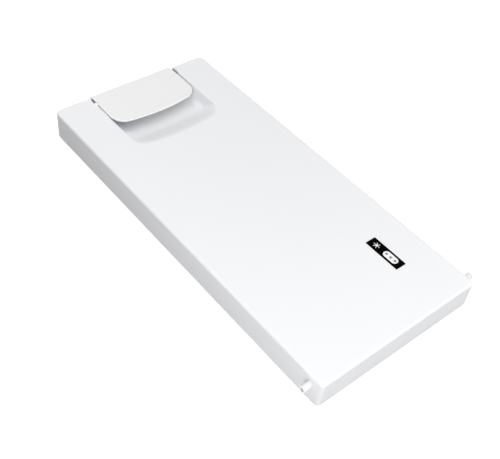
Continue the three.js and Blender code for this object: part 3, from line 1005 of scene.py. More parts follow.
# ---- Front shell ---------------------------------------------------------------------------------
@dataclass
class FrontShell:
    """The moulded shell: face, sides, handle well, latch pocket and finger scoop."""

    layout: Layout
    wall: float = 2.2 * MM
    face_round: float = 3 * MM
    well_half: float = 61.5 * MM
    well_end: float = 45 * MM
    well_round: float = 2.5 * MM
    floor_depth: float = 14 * MM
    rim_flare: float = 0.3 * MM
    flare_depth: float = 0.9 * MM
    pocket_end: float = 15 * MM
    pocket_top: float = 3 * MM
    pocket_depth: float = 24 * MM
    pocket_round: float = 1.2 * MM
    mouth_round: float = 4 * MM
    relief: tuple[float, float] = (5 * MM, 16.5 * MM)
    relief_depth: float = 1.3 * MM
    relief_lift: float = 2 * MM  # above the well's floor
    relief_round: float = 0.6 * MM
    scoop_start: float = 43.5 * MM
    scoop_corner: float = 19 * MM
    ramp_top: float = 110.8 * MM
    ramp_foot: float = 82 * MM
    ramp_flare: float = 4.6 * MM
    ramp_growth: float = 1.6  # of the wall behind the ramp, measured along the door
    side_slope: float = 4.6 * MM
    scoop_round: float = 11 * MM
    scoop_levels: tuple[float, ...] = (0.25 * MM, 0.7 * MM, 1.4 * MM, 2.6 * MM, 4.5 * MM)
    ledge: tuple[float, float] = (24 * MM, 42 * MM)
    ledge_depths: tuple[float, float] = (3.3 * MM, 5.7 * MM)
    ledge_width: float = 4 * MM
    peg: tuple[tuple[float, float], ...] = (
        (0, 0),
        (2.2 * MM, 0),
        (2.2 * MM, 3 * MM),
        (1.7 * MM, 3.5 * MM),
        (0, 3.5 * MM),
    )
    post_radius: float = 4.5 * MM
    post_lift: float = 5.4 * MM  # above the rim
    pin_bore: float = 3.8 * MM
    bush_bore: float = 3.1 * MM
    screw_depth: float = 21 * MM

    def build(self) -> Object:
        """Models the shell.

        Returns:
            The finished shell.
        """
        lay = self.layout
        shell = self._block("front_shell_skin", 0, lay.rim_z, self.face_round)
        cavity = self._block("cavity", self.wall, lay.rim_z - PAST, MM)
        for space in (self._well, self._scoop, self._pocket):
            work(cavity, Join.CUT, space(self.wall))
        work(shell, Join.CUT, cavity)
        for space in (self._well, self._scoop, self._pocket):
            work(shell, Join.CUT, space(0.0))
        for side in SIDES:
            work(shell, Join.CUT, self._mouth_corner(side))
            work(shell, Join.CUT, self._hub_relief(side))
        work(shell, Join.ADD, self._rests())
        work(shell, Join.CUT, self._bores())
        return smooth(shell)

    def _block(self, name: str, inset: float, bottom: float, top_round: float) -> Object:
        """Models the door's outer block, or the hollow in it.

        Args:
            name: The block's name.
            inset: How far it is drawn in from the outside.
            bottom: Height of its lower side.
            top_round: Rounding of its upper edges.

        Returns:
            The block with round corners.
        """
        top = self.layout.face_z - inset
        body = self.layout.slab(name, inset, bottom, top)
        with editing(body):
            pick_edges(lambda a, b: min(a.z, b.z) > top - NEAR)
            round_edges(top_round, pieces=7)
        return body

    def _well(self, grow: float) -> Object:
        """Models the space under the flap.

        Args:
            grow: How much it is grown, for the wall round it.

        Returns:
            The cutter.
        """
        lay, half = self.layout, self.well_half + grow
        low = lay.at(-2 * PAST, -half, self.floor_depth + grow)
        well = block("well", low, lay.at(self.well_end + grow, half, -PAST))
        with editing(well):
            pick_edges(lambda a, b: max(a.z, b.z) < low.z + NEAR and abs(a.y - b.y) < MM)
            round_edges(self.well_round + grow, pieces=5)
        return well

    def _scoop(self, grow: float) -> Object:
        """Models the dished finger scoop past the flap's free edge.

        Args:
            grow: How much it is grown, for the wall round it.

        Returns:
            The cutter.
        """
        lay = self.layout
        floor = self.floor_depth + grow
        start = self.scoop_start - grow
        wide, long = self._rim(0, grow)
        plan = Tongue(start, long, wide, self.scoop_corner + grow)
        scoop = plan.solid("scoop", lay, -PAST, 0)
        pivot = lay.at(start, 0, 0)
        depth = 0.0
        for level in (*self.scoop_levels, floor):
            half, end = self._rim(level, grow)
            low = lay.face_z - depth
            with editing(scoop, "FACE"):
                pick_faces(lambda middle, normal: normal.z < -0.9 and middle.z < low + NEAR)
                bpy.ops.mesh.extrude_region_move(
                    TRANSFORM_OT_translate={"value": (0, 0, depth - level)}
                )
                bpy.ops.transform.resize(
                    value=((end - start) / (long - start), half / wide, 1), center_override=pivot
                )
            wide, long, depth = half, end, level
        bottom = lay.face_z - floor + NEAR
        with editing(scoop):
            pick_edges(lambda a, b: max(a.z, b.z) < bottom and max(a.x, b.x) > pivot.x + MM)
            round_edges(self.scoop_round, pieces=9)
        return scoop

    def _rim(self, depth: float, grow: float) -> tuple[float, float]:
        """The scoop's half width and its end at one depth.

        Args:
            depth: The depth below the face.
            grow: How much the scoop is grown.

        Returns:
            Half the width there, and how far the end is from the handle end.
        """
        down = depth / self.floor_depth
        fade = math.exp(-depth / self.flare_depth)
        half = self.well_half - self.side_slope * down + self.rim_flare * fade
        end = self.ramp_top - (self.ramp_top - self.ramp_foot) * down + self.ramp_flare * fade
        return half + grow, end + self.ramp_growth * grow

    def _pocket(self, grow: float) -> Object:
        """Models the deep space at the end, where the latch swings.

        Args:
            grow: How much it is grown, for the wall round it.

        Returns:
            The cutter.
        """
        lay, half = self.layout, self.well_half + grow
        low = lay.at(-2 * PAST, -half, self.pocket_depth + grow)
        pocket = block("pocket", low, lay.at(self.pocket_end + grow, half, self.pocket_top))
        with editing(pocket):
            pick_edges(lambda a, b: max(a.z, b.z) < low.z + NEAR and max(a.x, b.x) > lay.handle_x)
            round_edges(self.pocket_round + grow, pieces=4)
        return pocket

    def _mouth_corner(self, side: int) -> Object:
        """Models what is cut away where a side wall of the well meets the door's end.

        Args:
            side: -1 for the lower side and 1 for the upper side.

        Returns:
            The cutter.
        """
        lay, radius = self.layout, self.mouth_round
        wall = side * self.well_half
        steps = [
            Line(Vector((radius + MM, 0, 0))),
            Line(Vector((0, side * BITE, 0))),
            Arc(lay.at(radius, wall + side * radius, -PAST), -side * math.pi / 2, pieces=9),
            Line(Vector((-MM, 0, 0))),
        ]
        begin = lay.at(-MM, wall - side * BITE, -PAST)
        run = Vector((0, 0, -self.pocket_depth - PAST))
        return outlined("mouth", begin, steps, run, UP)

    def _hub_relief(self, side: int) -> Object:
        """Models what is cut from a side wall of the well beside the hinge hub.

        Args:
            side: -1 for the lower side and 1 for the upper side.

        Returns:
            The cutter.
        """
        start, end = self.relief
        near, far = sorted(
            side * (self.well_half + depth) for depth in (-MM, self.relief_depth)
        )
        low = self.layout.at(start, near, self.floor_depth - self.relief_lift)
        relief = block("relief", low, self.layout.at(end, far, -PAST))
        with editing(relief):
            pick_edges(upright)
            round_edges(self.relief_round, pieces=3)
        return relief

    def _rests(self) -> Object:
        """Models the ledges under the flap, the spring pegs and the screw posts.

        Returns:
            All of them as one object.
        """
        lay, pieces = self.layout, []
        start, end = self.ledge
        top, bottom = self.ledge_depths
        for side in SIDES:
            near, far = sorted(
                side * (self.well_half + reach) for reach in (-self.ledge_width, BITE)
            )
            ledge = block("ledge", lay.at(start, near, bottom), lay.at(end, far, top))
            pieces.append(soften(ledge, 0.4 * MM))
            foot = lay.over_spring(side, self.pocket_depth + BITE)
            pieces.append(turned("peg", foot, UP, self.peg, sides=24))
        for node in screw_nodes():
            low, high = middle_of(node), middle_of(node)
            low.z = lay.rim_z + self.post_lift
            high.z = lay.face_z - self.wall + BITE
            pieces.append(rod("post", low, high, self.post_radius, sides=32))
        return joined("rests", pieces)

    def _bores(self) -> Object:
        """Models the bores for the hinge pins, the bushes and the screws.

        Returns:
            All the cutters as one object.
        """
        lay, pieces = self.layout, []
        pin = middle_of("hinge_pin_lower")
        across = Vector((0, PAST, 0))
        for side, edge in ((-1, lay.lower_y), (1, lay.upper_y)):
            spot = Vector((pin.x, edge, pin.z))
            bush = Vector((lay.axle.x, lay.mid_y + side * (self.well_half + MM), lay.axle.z))
            pieces.append(rod("pin_bore", spot - across, spot + across, self.pin_bore))
            pieces.append(
                rod("bush_bore", bush - across / 2, bush + across / 2, self.bush_bore)
            )
        for node in screw_nodes():
            spot = middle_of(node)
            spot.z = lay.rim_z
            end = spot + Vector((0, 0, self.screw_depth))
            pieces.append(rod("screw_bore", spot, end, lay.screw_bore, sides=20))
        return joined("bores", pieces)


# ---- Handle --------------------------------------------------------------------------------------
@dataclass
class Handle:
    """The grip flap with its latch hook, axle and return springs."""

    layout: Layout
    plan: Tongue = Tongue(-1.1 * MM, 66.4 * MM, 59.9 * MM, 20 * MM)
    thickness: float = 3 * MM
    skirt: float = 3 * MM
    skirt_depth: float = 11 * MM
    lip_inset: float = 3.4 * MM
    lip: float = 2.8 * MM
    lip_depth: float = 5.4 * MM
    lip_start: float = 55 * MM
    edge_round: float = 1.1 * MM
    under_round: float = 1.5 * MM
    notch: tuple[float, float] = (4 * MM, 16 * MM)
    notch_steps: tuple[tuple[float, float], ...] = ((0.8 * MM, -PAST), (2.4 * MM, 1.2 * MM))
    hub: tuple[float, float] = (52.1 * MM, 61.1 * MM)
    hub_radius: float = 3.5 * MM
    axle_bore: float = 1.62 * MM
    boss_depth: float = 10.1 * MM
    boss: tuple[tuple[float, float], ...] = (
        (0, 0),
        (1.8 * MM, 0),
        (2.2 * MM, 0.4 * MM),
        (2.2 * MM, 2 * MM),
        (3.9 * MM, 2 * MM),
        (4.2 * MM, 2.3 * MM),
        (4.2 * MM, 9 * MM),
        (0, 9 * MM),
    )
    rail: tuple[float, float] = (14.3 * MM, 16.1 * MM)
    rail_end: float = 7 * MM
    rail_depth: float = 10.5 * MM
    rail_lip: tuple[float, float] = (5.6 * MM, 12.3 * MM)  # where it starts, along and across
    rib_offsets: tuple[float, float] = (22 * MM, 50 * MM)
    hook_half: float = 14 * MM
    coil: float = 3.5 * MM
    wire: float = 0.4 * MM

    def flap(self) -> Object:
        """Models the flap: a bowed plate with a skirt, a finger lip, hubs, ribs and spring bosses.

        Returns:
            The finished flap.
        """
        lay = self.layout
        flap = self.plan.solid("handle_flap_skin", lay, 0, self.thickness)
        with editing(flap):
            pick_edges(lambda a, b: min(a.z, b.z) > lay.face_z - NEAR)
            round_edges(self.edge_round, pieces=5)
        with editing(flap):
            pick_edges(lambda a, b: max(a.z, b.z) < lay.face_z - self.thickness + NEAR)
            round_edges(self.under_round, pieces=4)
        for side in SIDES:
            for cutter in self._notch(side):
                work(flap, Join.CUT, cutter)
        work(flap, Join.ADD, self._lip())
        work(flap, Join.ADD, self._skirt())
        for side in SIDES:
            for piece in self._fittings(side):
                work(flap, Join.ADD, piece)
        reach = Vector((0, self.plan.half + PAST, 0))
        work(flap, Join.CUT, rod("bore", lay.axle - reach, lay.axle + reach, self.axle_bore))
        return smooth(flap)

    def _notch(self, side: int) -> list[Object]:
        """Models the step in one side edge of the plate, and the room under its thin edge.

        Args:
            side: -1 for the lower side and 1 for the upper side.

        Returns:
            The cutters.
        """
        start, end = self.notch
        cutters = []
        for cut, top in self.notch_steps:
            near, far = sorted((side * (self.plan.half - cut), side * (self.plan.half + PAST)))
            low = self.layout.at(start, near, self.thickness + PAST)
            cutters.append(block("notch", low, self.layout.at(end, far, top)))
        return cutters

    def _lip(self) -> Object:
        """Models the downturned lip behind the free edge.

        Returns:
            The lip, to be added to the flap.
        """
        lay = self.layout
        outer_start, inner_start = 30 * MM, 20 * MM  # both well ahead of the part that is kept
        outer = self.plan.drawn_in(self.lip_inset, outer_start)
        inner = self.plan.drawn_in(self.lip_inset + self.lip, inner_start)
        lip = outer.solid("lip", lay, self.thickness - BITE, self.lip_depth)
        work(lip, Join.CUT, inner.solid("hollow", lay, -PAST, self.lip_depth + PAST))
        reach = self.plan.half
        low = lay.at(self.lip_start, -reach, self.lip_depth + PAST)
        work(lip, Join.KEEP, block("keep", low, lay.at(self.plan.end, reach, -PAST)))
        return soften(lip, 0.5 * MM, pieces=3)

    def _skirt(self) -> Object:
        """Models the wall that hangs over the door's end.

        Returns:
            The wall, to be added to the flap.
        """
        lay, reach = self.layout, self.plan.half - MM
        start = self.plan.start
        low = lay.at(start, -reach, self.skirt_depth)
        skirt = block("skirt", low, lay.at(start + self.skirt, reach, MM))
        with editing(skirt):
            pick_edges(lambda a, b: abs(a.x - b.x) > MM)
            round_edges(self.under_round, pieces=4)
        return soften(skirt, 0.4 * MM, pieces=3)

    def _fittings(self, side: int) -> list[Object]:
        """Models one side's hub, spring boss, hook rail and ribs.

        Args:
            side: -1 for the lower side and 1 for the upper side.

        Returns:
            The pieces to add to the flap.
        """
        lay = self.layout
        hub = [Vector((lay.axle.x, lay.mid_y + side * y, lay.axle.z)) for y in self.hub]
        back = self.plan.start + self.skirt - BITE
        inner, outer = self.rail
        lip_x, lip_y = self.rail_lip
        near, far = sorted((side * inner, side * outer))
        lip_near, lip_far = sorted((side * lip_y, side * outer))
        lip_low = lay.at(lip_x, lip_near, self.rail_depth)
        pieces = [
            rod("hub", hub[0], hub[1], self.hub_radius),
            turned("boss", lay.over_spring(side, self.boss_depth), UP, self.boss, sides=32),
            block("rail", lay.at(back, near, self.rail_depth), lay.at(self.rail_end, far, MM)),
            block("rail_lip", lip_low, lay.at(self.rail_end, lip_far, MM)),
        ]
        return pieces + [self._rib(side * offset, back) for offset in self.rib_offsets]

    def _rib(self, y: float, back: float) -> Object:
        """Models one stiffening rib.

        Args:
            y: Its place across the flap.
            back: Where it starts, from the handle end.

        Returns:
            The rib.
        """
        flat_end, end, depth, thick = 20.5 * MM, 35.5 * MM, 9 * MM, 1.6 * MM
        steps = [
            Line(Vector((0, 0, MM - depth))),
            Line(Vector((flat_end - back, 0, 0))),
            Line(Vector((end - flat_end, 0, depth - self.thickness))),
            Line(Vector((0, 0, self.thickness - MM))),
        ]
        begin = self.layout.at(back, y - thick / 2, MM)
        return outlined("rib", begin, steps, Vector((0, thick, 0)))

    def hook(self) -> Object:
        """Models the latch hook with its flat catch face and bevelled nose.

        Returns:
            The finished hook.
        """
        front, back, shoulder, tip = 2.3 * MM, 5.3 * MM, -1.6 * MM, -4.6 * MM
        top, catch, neck, bottom, nose = 3.3 * MM, 11.5 * MM, 12.6 * MM, 17 * MM, 1.4 * MM
        corners = [
            (front, top),
            (front, neck),
            (shoulder, neck),
            (shoulder, catch),
            (tip, catch),
            (tip, catch + nose),
            (MM, bottom),
            (back, bottom),
            (back, top),
        ]
        spots = [self.layout.at(x, -self.hook_half, depth) for x, depth in corners]
        steps = [Line(b - a) for a, b in zip(spots, spots[1:])]
        hook = outlined("latch_hook_moulding", spots[0], steps, 2 * self.hook_half * ACROSS)
        return smooth(soften(hook, 0.25 * MM, pieces=3))

    def axle(self) -> Object:
        """Models the steel axle with its chamfered ends."""
        low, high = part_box("handle_axle")
        foot = Vector((self.layout.axle.x, low.y, self.layout.axle.z))
        return pin_blank("handle_axle_bar", foot, high.y - low.y, radius=1.5 * MM, chamfer=0.3 * MM)

    def springs(self) -> list[Object]:
        """Models the two return springs.

        Returns:
            The springs, each named for the node that it replaces.
        """
        made = []
        for side, node in zip(SIDES, ("handle_spring_lower", "handle_spring_upper")):
            low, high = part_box(node)
            start, end = self.layout.over_spring(side, 0), self.layout.over_spring(side, 0)
            start.z, end.z = low.z, high.z
            made.append(smooth(coiled(f"{node}_coil", start, end, self.coil, self.wire)))
        return made


def pin_blank(name: str, foot: Vector, length: float, radius: float, chamfer: float) -> Object:
    """Turns a plain round bar along Y with a chamfer at each end.

    Args:
        name: The bar's name.
        foot: Middle of its lower end.
        length: Its length.
        radius: Its radius.
        chamfer: How far each end is chamfered.

    Returns:
        The finished bar.
    """
    profile = [
        (0, 0),
        (radius - chamfer, 0),
        (radius, chamfer),
        (radius, length - chamfer),
        (radius - chamfer, length),
        (0, length),
    ]
    return smooth(turned(name, foot, ACROSS, profile), angle=50)


# ---- Hinge pins ----------------------------------------------------------------------------------
@dataclass
class HingePins:
    """The two round hinge pins and the spring behind the upper one."""

    layout: Layout
    radius: float = 3.75 * MM
    hole: float = 1.8 * MM
    hole_depth: float = 7 * MM
    collar: float = 5 * MM
    collar_start: float = 5.5 * MM  # in from the door's side
    collar_width: float = 2 * MM
    tail: float = 2 * MM
    chamfer: float = 0.6 * MM
    coil: float = 4.4 * MM
    wire: float = 0.45 * MM

    def pins(self) -> dict[str, Object]:
        """Models both pins.

        Returns:
            The pins by the node that each replaces.
        """
        lay, made = self.layout, {}
        for node, edge, inwards in (
            ("hinge_pin_lower", lay.lower_y, 1),
            ("hinge_pin_upper", lay.upper_y, -1),
        ):
            low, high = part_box(node)
            outer, inner = (low.y, high.y) if inwards > 0 else (high.y, low.y)
            spot = middle_of(node)
            made[node] = self._pin(
                f"{node}_moulding",
                Vector((spot.x, outer, spot.z)),
                inwards,
                reach=abs(edge - outer),
                length=abs(inner - outer),
            )
        return made

    def _pin(self, name: str, foot: Vector, inwards: int, reach: float, length: float) -> Object:
        """Turns one pin with a blind hole in its end, a collar and a tail.

        Args:
            name: The pin's name.
            foot: Middle of its outer end.
            inwards: 1 where it runs towards +Y, and -1 where it runs towards -Y.
            reach: How far it stands out of the door's side.
            length: Its whole length.

        Returns:
            The finished pin.
        """
        cut, soft = self.chamfer, 0.25 * MM
        ring = reach + self.collar_start
        profile = [
            (0, self.hole_depth),
            (self.hole, self.hole_depth),
            (self.hole, soft),
            (self.hole + soft, 0),
            (self.radius - cut, 0),
            (self.radius - cut * 0.3, cut * 0.35),
            (self.radius, cut),
            (self.radius, ring),
            (self.collar - soft, ring),
            (self.collar, ring + soft),
            (self.collar, ring + self.collar_width - soft),
            (self.collar - soft, ring + self.collar_width),
            (self.tail, ring + self.collar_width),
            (self.tail, length - cut),
            (self.tail - cut, length),
            (0, length),
        ]
        return smooth(turned(name, foot, inwards * ACROSS, profile, sides=48), angle=50)

    def spring(self) -> Object:
        """Models the spring that pushes the upper pin out.

        Returns:
            The spring, named for the node that it replaces.
        """
        low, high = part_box("pin_spring")
        pin = middle_of("hinge_pin_upper")
        start, end = (Vector((pin.x, y, pin.z)) for y in (low.y, high.y))
        return smooth(coiled("pin_spring_coil", start, end, self.coil, self.wire))


# ---- Back of the door ----------------------------------------------------------------------------
@dataclass
class Back:
    """The rear panel with its seal groove and screw cups, the screws, and the soft seal."""

    layout: Layout
    inset: float = 2.6 * MM
    height: float = 2 * MM  # of the panel above the shell's rim
    thickness: float = 2 * MM
    plateau_inset: float = 26 * MM
    plateau_z: float = 2 * MM
    plateau_corner: float = 6 * MM
    plateau_round: float = 2.6 * MM
    groove: tuple[float, float] = (10.7 * MM, 14.3 * MM)
    groove_wall: float = 1.2 * MM
    groove_top: float = 10 * MM
    cup: float = 4.3 * MM
    cup_wall: float = 1.8 * MM
    screw_head: float = 2.2 * MM
    screw_root: float = 1.25 * MM
    screw_crest: float = 1.6 * MM
    screw_pitch: float = 1.3 * MM
    cross: tuple[float, float] = (4.2 * MM, 0.9 * MM)
    cross_depth: float = 1.1 * MM
    seal_band: tuple[float, float] = (6 * MM, 19 * MM)
    seal_height: float = 1.7 * MM  # of the seal's base above the shell's rim
    seal_base: float = 1.3 * MM

    def panel(self) -> Object:
        """Models the panel with its raised middle, its groove and its cups.

        Returns:
            The finished panel.
        """
        lay = self.layout
        base = lay.rim_z + self.height
        top = base + self.thickness
        panel = soften(lay.slab("rear_panel_moulding", self.inset, base, top), 0.3 * MM)
        wide, low = self.plateau_inset - self.thickness, self.plateau_z
        raised = self._rounded("raised", wide, low, top, self.plateau_corner, self.plateau_round)
        corner, low = self.plateau_corner - self.thickness, low + self.thickness
        room = self._rounded("room", self.plateau_inset, low, top + PAST, corner, MM)
        outer, inner = self.groove
        wall = self.groove_wall
        work(panel, Join.ADD, raised)
        work(panel, Join.CUT, room)
        channel = lay.band("channel", outer - wall, inner + wall, base, self.groove_top + wall)
        work(panel, Join.ADD, channel)
        work(panel, Join.CUT, lay.band("groove", outer, inner, base - PAST, self.groove_top))
        work(panel, Join.ADD, self._at_screws(self._cup_wall))
        work(panel, Join.CUT, self._at_screws(self._cup_room))
        return smooth(panel)

    def _rounded(
        self, name: str, inset: float, low: float, high: float, corner: float, edge: float
    ) -> Object:
        """Models a slab whose lower edges are rounded.

        Args:
            name: The slab's name.
            inset: How far it is drawn in from the door's outline.
            low: Height of its lower side.
            high: Height of its upper side.
            corner: Radius of its corners.
            edge: Rounding of its lower edges.

        Returns:
            The slab.
        """
        slab = self.layout.slab(name, inset, low, high, corner)
        with editing(slab):
            pick_edges(lambda a, b: max(a.z, b.z) < low + NEAR)
            round_edges(edge, pieces=6)
        return slab

    def _at_screws(self, shape: Callable[[Vector], Object]) -> Object:
        """Models a shape once and copies it to every screw's place.

        Args:
            shape: Makes the first one, given the screw's axis at the floor's height.

        Returns:
            All of them as one object.
        """
        spots = [middle_of(node) for node in screw_nodes()]
        for spot in spots:
            spot.z = 0
        first = shape(spots[0])
        copies = [copied(first, first.name, spot - spots[0]) for spot in spots[1:]]
        return joined("at_screws", [first, *copies])

    def _cup_wall(self, spot: Vector) -> Object:
        """Models the wall and floor round one screw cup.

        Args:
            spot: The screw's axis at the floor's height.

        Returns:
            The solid to be added to the panel.
        """
        low = self.plateau_z + 0.05 * MM  # clear of the plateau's own underside
        high, radius = self.layout.rim_z + 5 * MM, self.cup + self.cup_wall
        profile = [(0, low), (radius, low), (radius, high - MM), (radius - MM, high), (0, high)]
        return turned("cup_wall", spot, UP, profile)

    def _cup_room(self, spot: Vector) -> Object:
        """Models the room for one screw's head and shank.

        Args:
            spot: The screw's axis at the floor's height.

        Returns:
            The cutter.
        """
        floor, shank, soft = self.layout.rim_z + 2.8 * MM, self.layout.screw_bore, 0.6 * MM
        rim = self.plateau_z
        profile = [
            (0, rim - MM),
            (self.cup + soft, rim - MM),
            (self.cup + soft, rim),
            (self.cup, rim + soft),
            (self.cup, floor),
            (shank, floor),
            (shank, floor + PAST),
            (0, floor + PAST),
        ]
        return turned("cup_room", spot, UP, profile)

    def screws(self) -> list[Object]:
        """Models one screw with its cross recess and thread, and copies it to each place.

        Returns:
            The screws, in the order of the nodes that they replace.
        """
        nodes = screw_nodes()
        low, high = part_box(nodes[0])
        foot = middle_of(nodes[0])
        foot.z = low.z
        length, head, root = high.z - low.z, self.screw_head, self.screw_root
        profile = [
            (0, 0),
            (2.2 * MM, 0),
            (3.2 * MM, 0.35 * MM),
            (3.6 * MM, 1.1 * MM),
            (3.6 * MM, head),
            (root, head),
        ]
        at = head + MM
        while at < length - 3 * MM:
            profile += [(root, at), (self.screw_crest, at + 0.35 * MM), (root, at + 0.7 * MM)]
            at += self.screw_pitch
        profile += [(1.1 * MM, length - 2 * MM), (0, length)]
        screw = turned(nodes[0] + "_steel", foot, UP, profile, sides=28)
        for wide, deep in (self.cross, self.cross[::-1]):
            half = Vector((wide / 2, deep / 2, self.cross_depth))
            work(screw, Join.CUT, block("cross", foot - half, foot + half))
        smooth(screw)
        copies = []
        for node in nodes[1:]:
            shift = middle_of(node) - middle_of(nodes[0])
            copies.append(copied(screw, node + "_steel", shift))
        return [screw, *copies]

    def seal(self) -> Object:
        """Models the welded frame of soft seal: base, outer wall, lip and the barbed stem.

        Returns:
            The finished seal.
        """
        lay = self.layout
        outside, inside = self.seal_band
        top = lay.rim_z + self.seal_height
        base = top - self.seal_base
        seal = soften(lay.band("seal_frame", outside, inside, base, top), 0.3 * MM, pieces=3)
        rings = [
            (outside, 7.8 * MM, 0, top),  # outer wall
            (outside, 17 * MM, 0, 1.5 * MM),  # face
            (16 * MM, 17.6 * MM, 0.5 * MM, 2.6 * MM),  # lip
            (11.8 * MM, 13.2 * MM, base, 9.4 * MM),  # stem
            (11.2 * MM, 13.8 * MM, 7.8 * MM, 8.8 * MM),  # barb
        ]
        for outer, inner, low, high in rings:
            ring = lay.band("ring", outer, inner, low, high)
            work(seal, Join.ADD, soften(ring, 0.35 * MM, pieces=3))
        return smooth(seal)


# ---- Badge ---------------------------------------------------------------------------------------
@dataclass
class StarBadge:
    """The black freezer label with one white star, and three small ones in a white field."""

    layout: Layout
    print_height: float = 0.05 * MM
    corner: float = 0.5 * MM
    star_reach: float = 4.4 * MM
    star_width: float = 1.15 * MM
    star_x: float = -13.6 * MM
    field_x: float = 7.6 * MM
    field_size: tuple[float, float] = (19.4 * MM, 9.0 * MM)
    field_round: float = 0.46  # as a share of its height
    small_reach: float = 2.0 * MM
    small_width: float = 0.75 * MM
    small_pitch: float = 6.3 * MM

    def build(self) -> dict[str, Object]:
        """Models the label and its print.

        Returns:
            The label, the white print and the dark print by name.
        """
        low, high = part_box("star_badge")
        label = block("star_label", low, high)
        with editing(label):
            pick_edges(upright)
            round_edges(self.corner, pieces=5)
        smooth(soften(label, 0.08 * MM))
        middle = (low + high) / 2
        middle.z = high.z
        spot = middle + Vector((self.star_x, 0, 0))
        star = self._star("freezer_star", spot, self.star_reach, self.star_width)
        field = self._field(middle + Vector((self.field_x, 0, 0)))
        white = joined("white_print", [star, field])
        lift = Vector((self.field_x, 0, self.print_height))
        small = [
            self._star(
                "small_star",
                middle + lift + Vector((place * self.small_pitch, 0, 0)),
                self.small_reach,
                self.small_width,
            )
            for place in (-1, 0, 1)
        ]
        return {"label": label, "white": white, "dark": joined("dark_print", small)}

    def _star(self, name: str, centre: Vector, reach: float, width: float) -> Object:
        """Models a star of six tapered arms.

        Args:
            name: The star's name.
            centre: The middle of its underside.
            reach: From its middle to an arm's tip.
            width: An arm's width at the middle.

        Returns:
            The star.
        """
        up = Vector((0, 0, self.print_height))
        arms = []
        for turn in range(6):
            angle = turn * math.pi / 3
            along = Vector((math.cos(angle), math.sin(angle), 0))
            side = Vector((-along.y, along.x, 0)) * width / 2
            slant, tip = side * 0.6, side * 0.8
            steps = [Line(along * reach + slant), Line(tip), Line(slant - along * reach)]
            arms.append(outlined("arm", centre - side, steps, up))
        star = arms[0]
        for arm in arms[1:]:
            work(star, Join.ADD, arm)
        star.name = star.data.name = name
        return star

    def _field(self, centre: Vector) -> Object:
        """Models the white field with its round ends.

        Args:
            centre: The middle of its underside.

        Returns:
            The field.
        """
        half = Vector((self.field_size[0] / 2, self.field_size[1] / 2, 0))
        field = block("field", centre - half, centre + half + Vector((0, 0, self.print_height)))
        with editing(field):
            pick_edges(lambda a, b: (a - b).to_2d().length < TIGHT)
            round_edges(self.field_round * self.field_size[1], pieces=12)
        return field


# ---- Stage ---------------------------------------------------------------------------------------
@dataclass(frozen=True)
class SoftLight:
    """A square soft light that faces the door."""

    name: str
    place: tuple[float, float, float]
    size: float
    power: float

    def hang(self) -> None:
        """Hangs the light."""
        place = Vector(self.place)
        deselect()
        turn = (-place).to_track_quat("-Z", "Y").to_euler()
        bpy.ops.object.light_add(type="AREA", location=place, rotation=turn)
        light = bpy.context.object
        light.name = self.name
        light.data.size = self.size
        light.data.energy = self.power


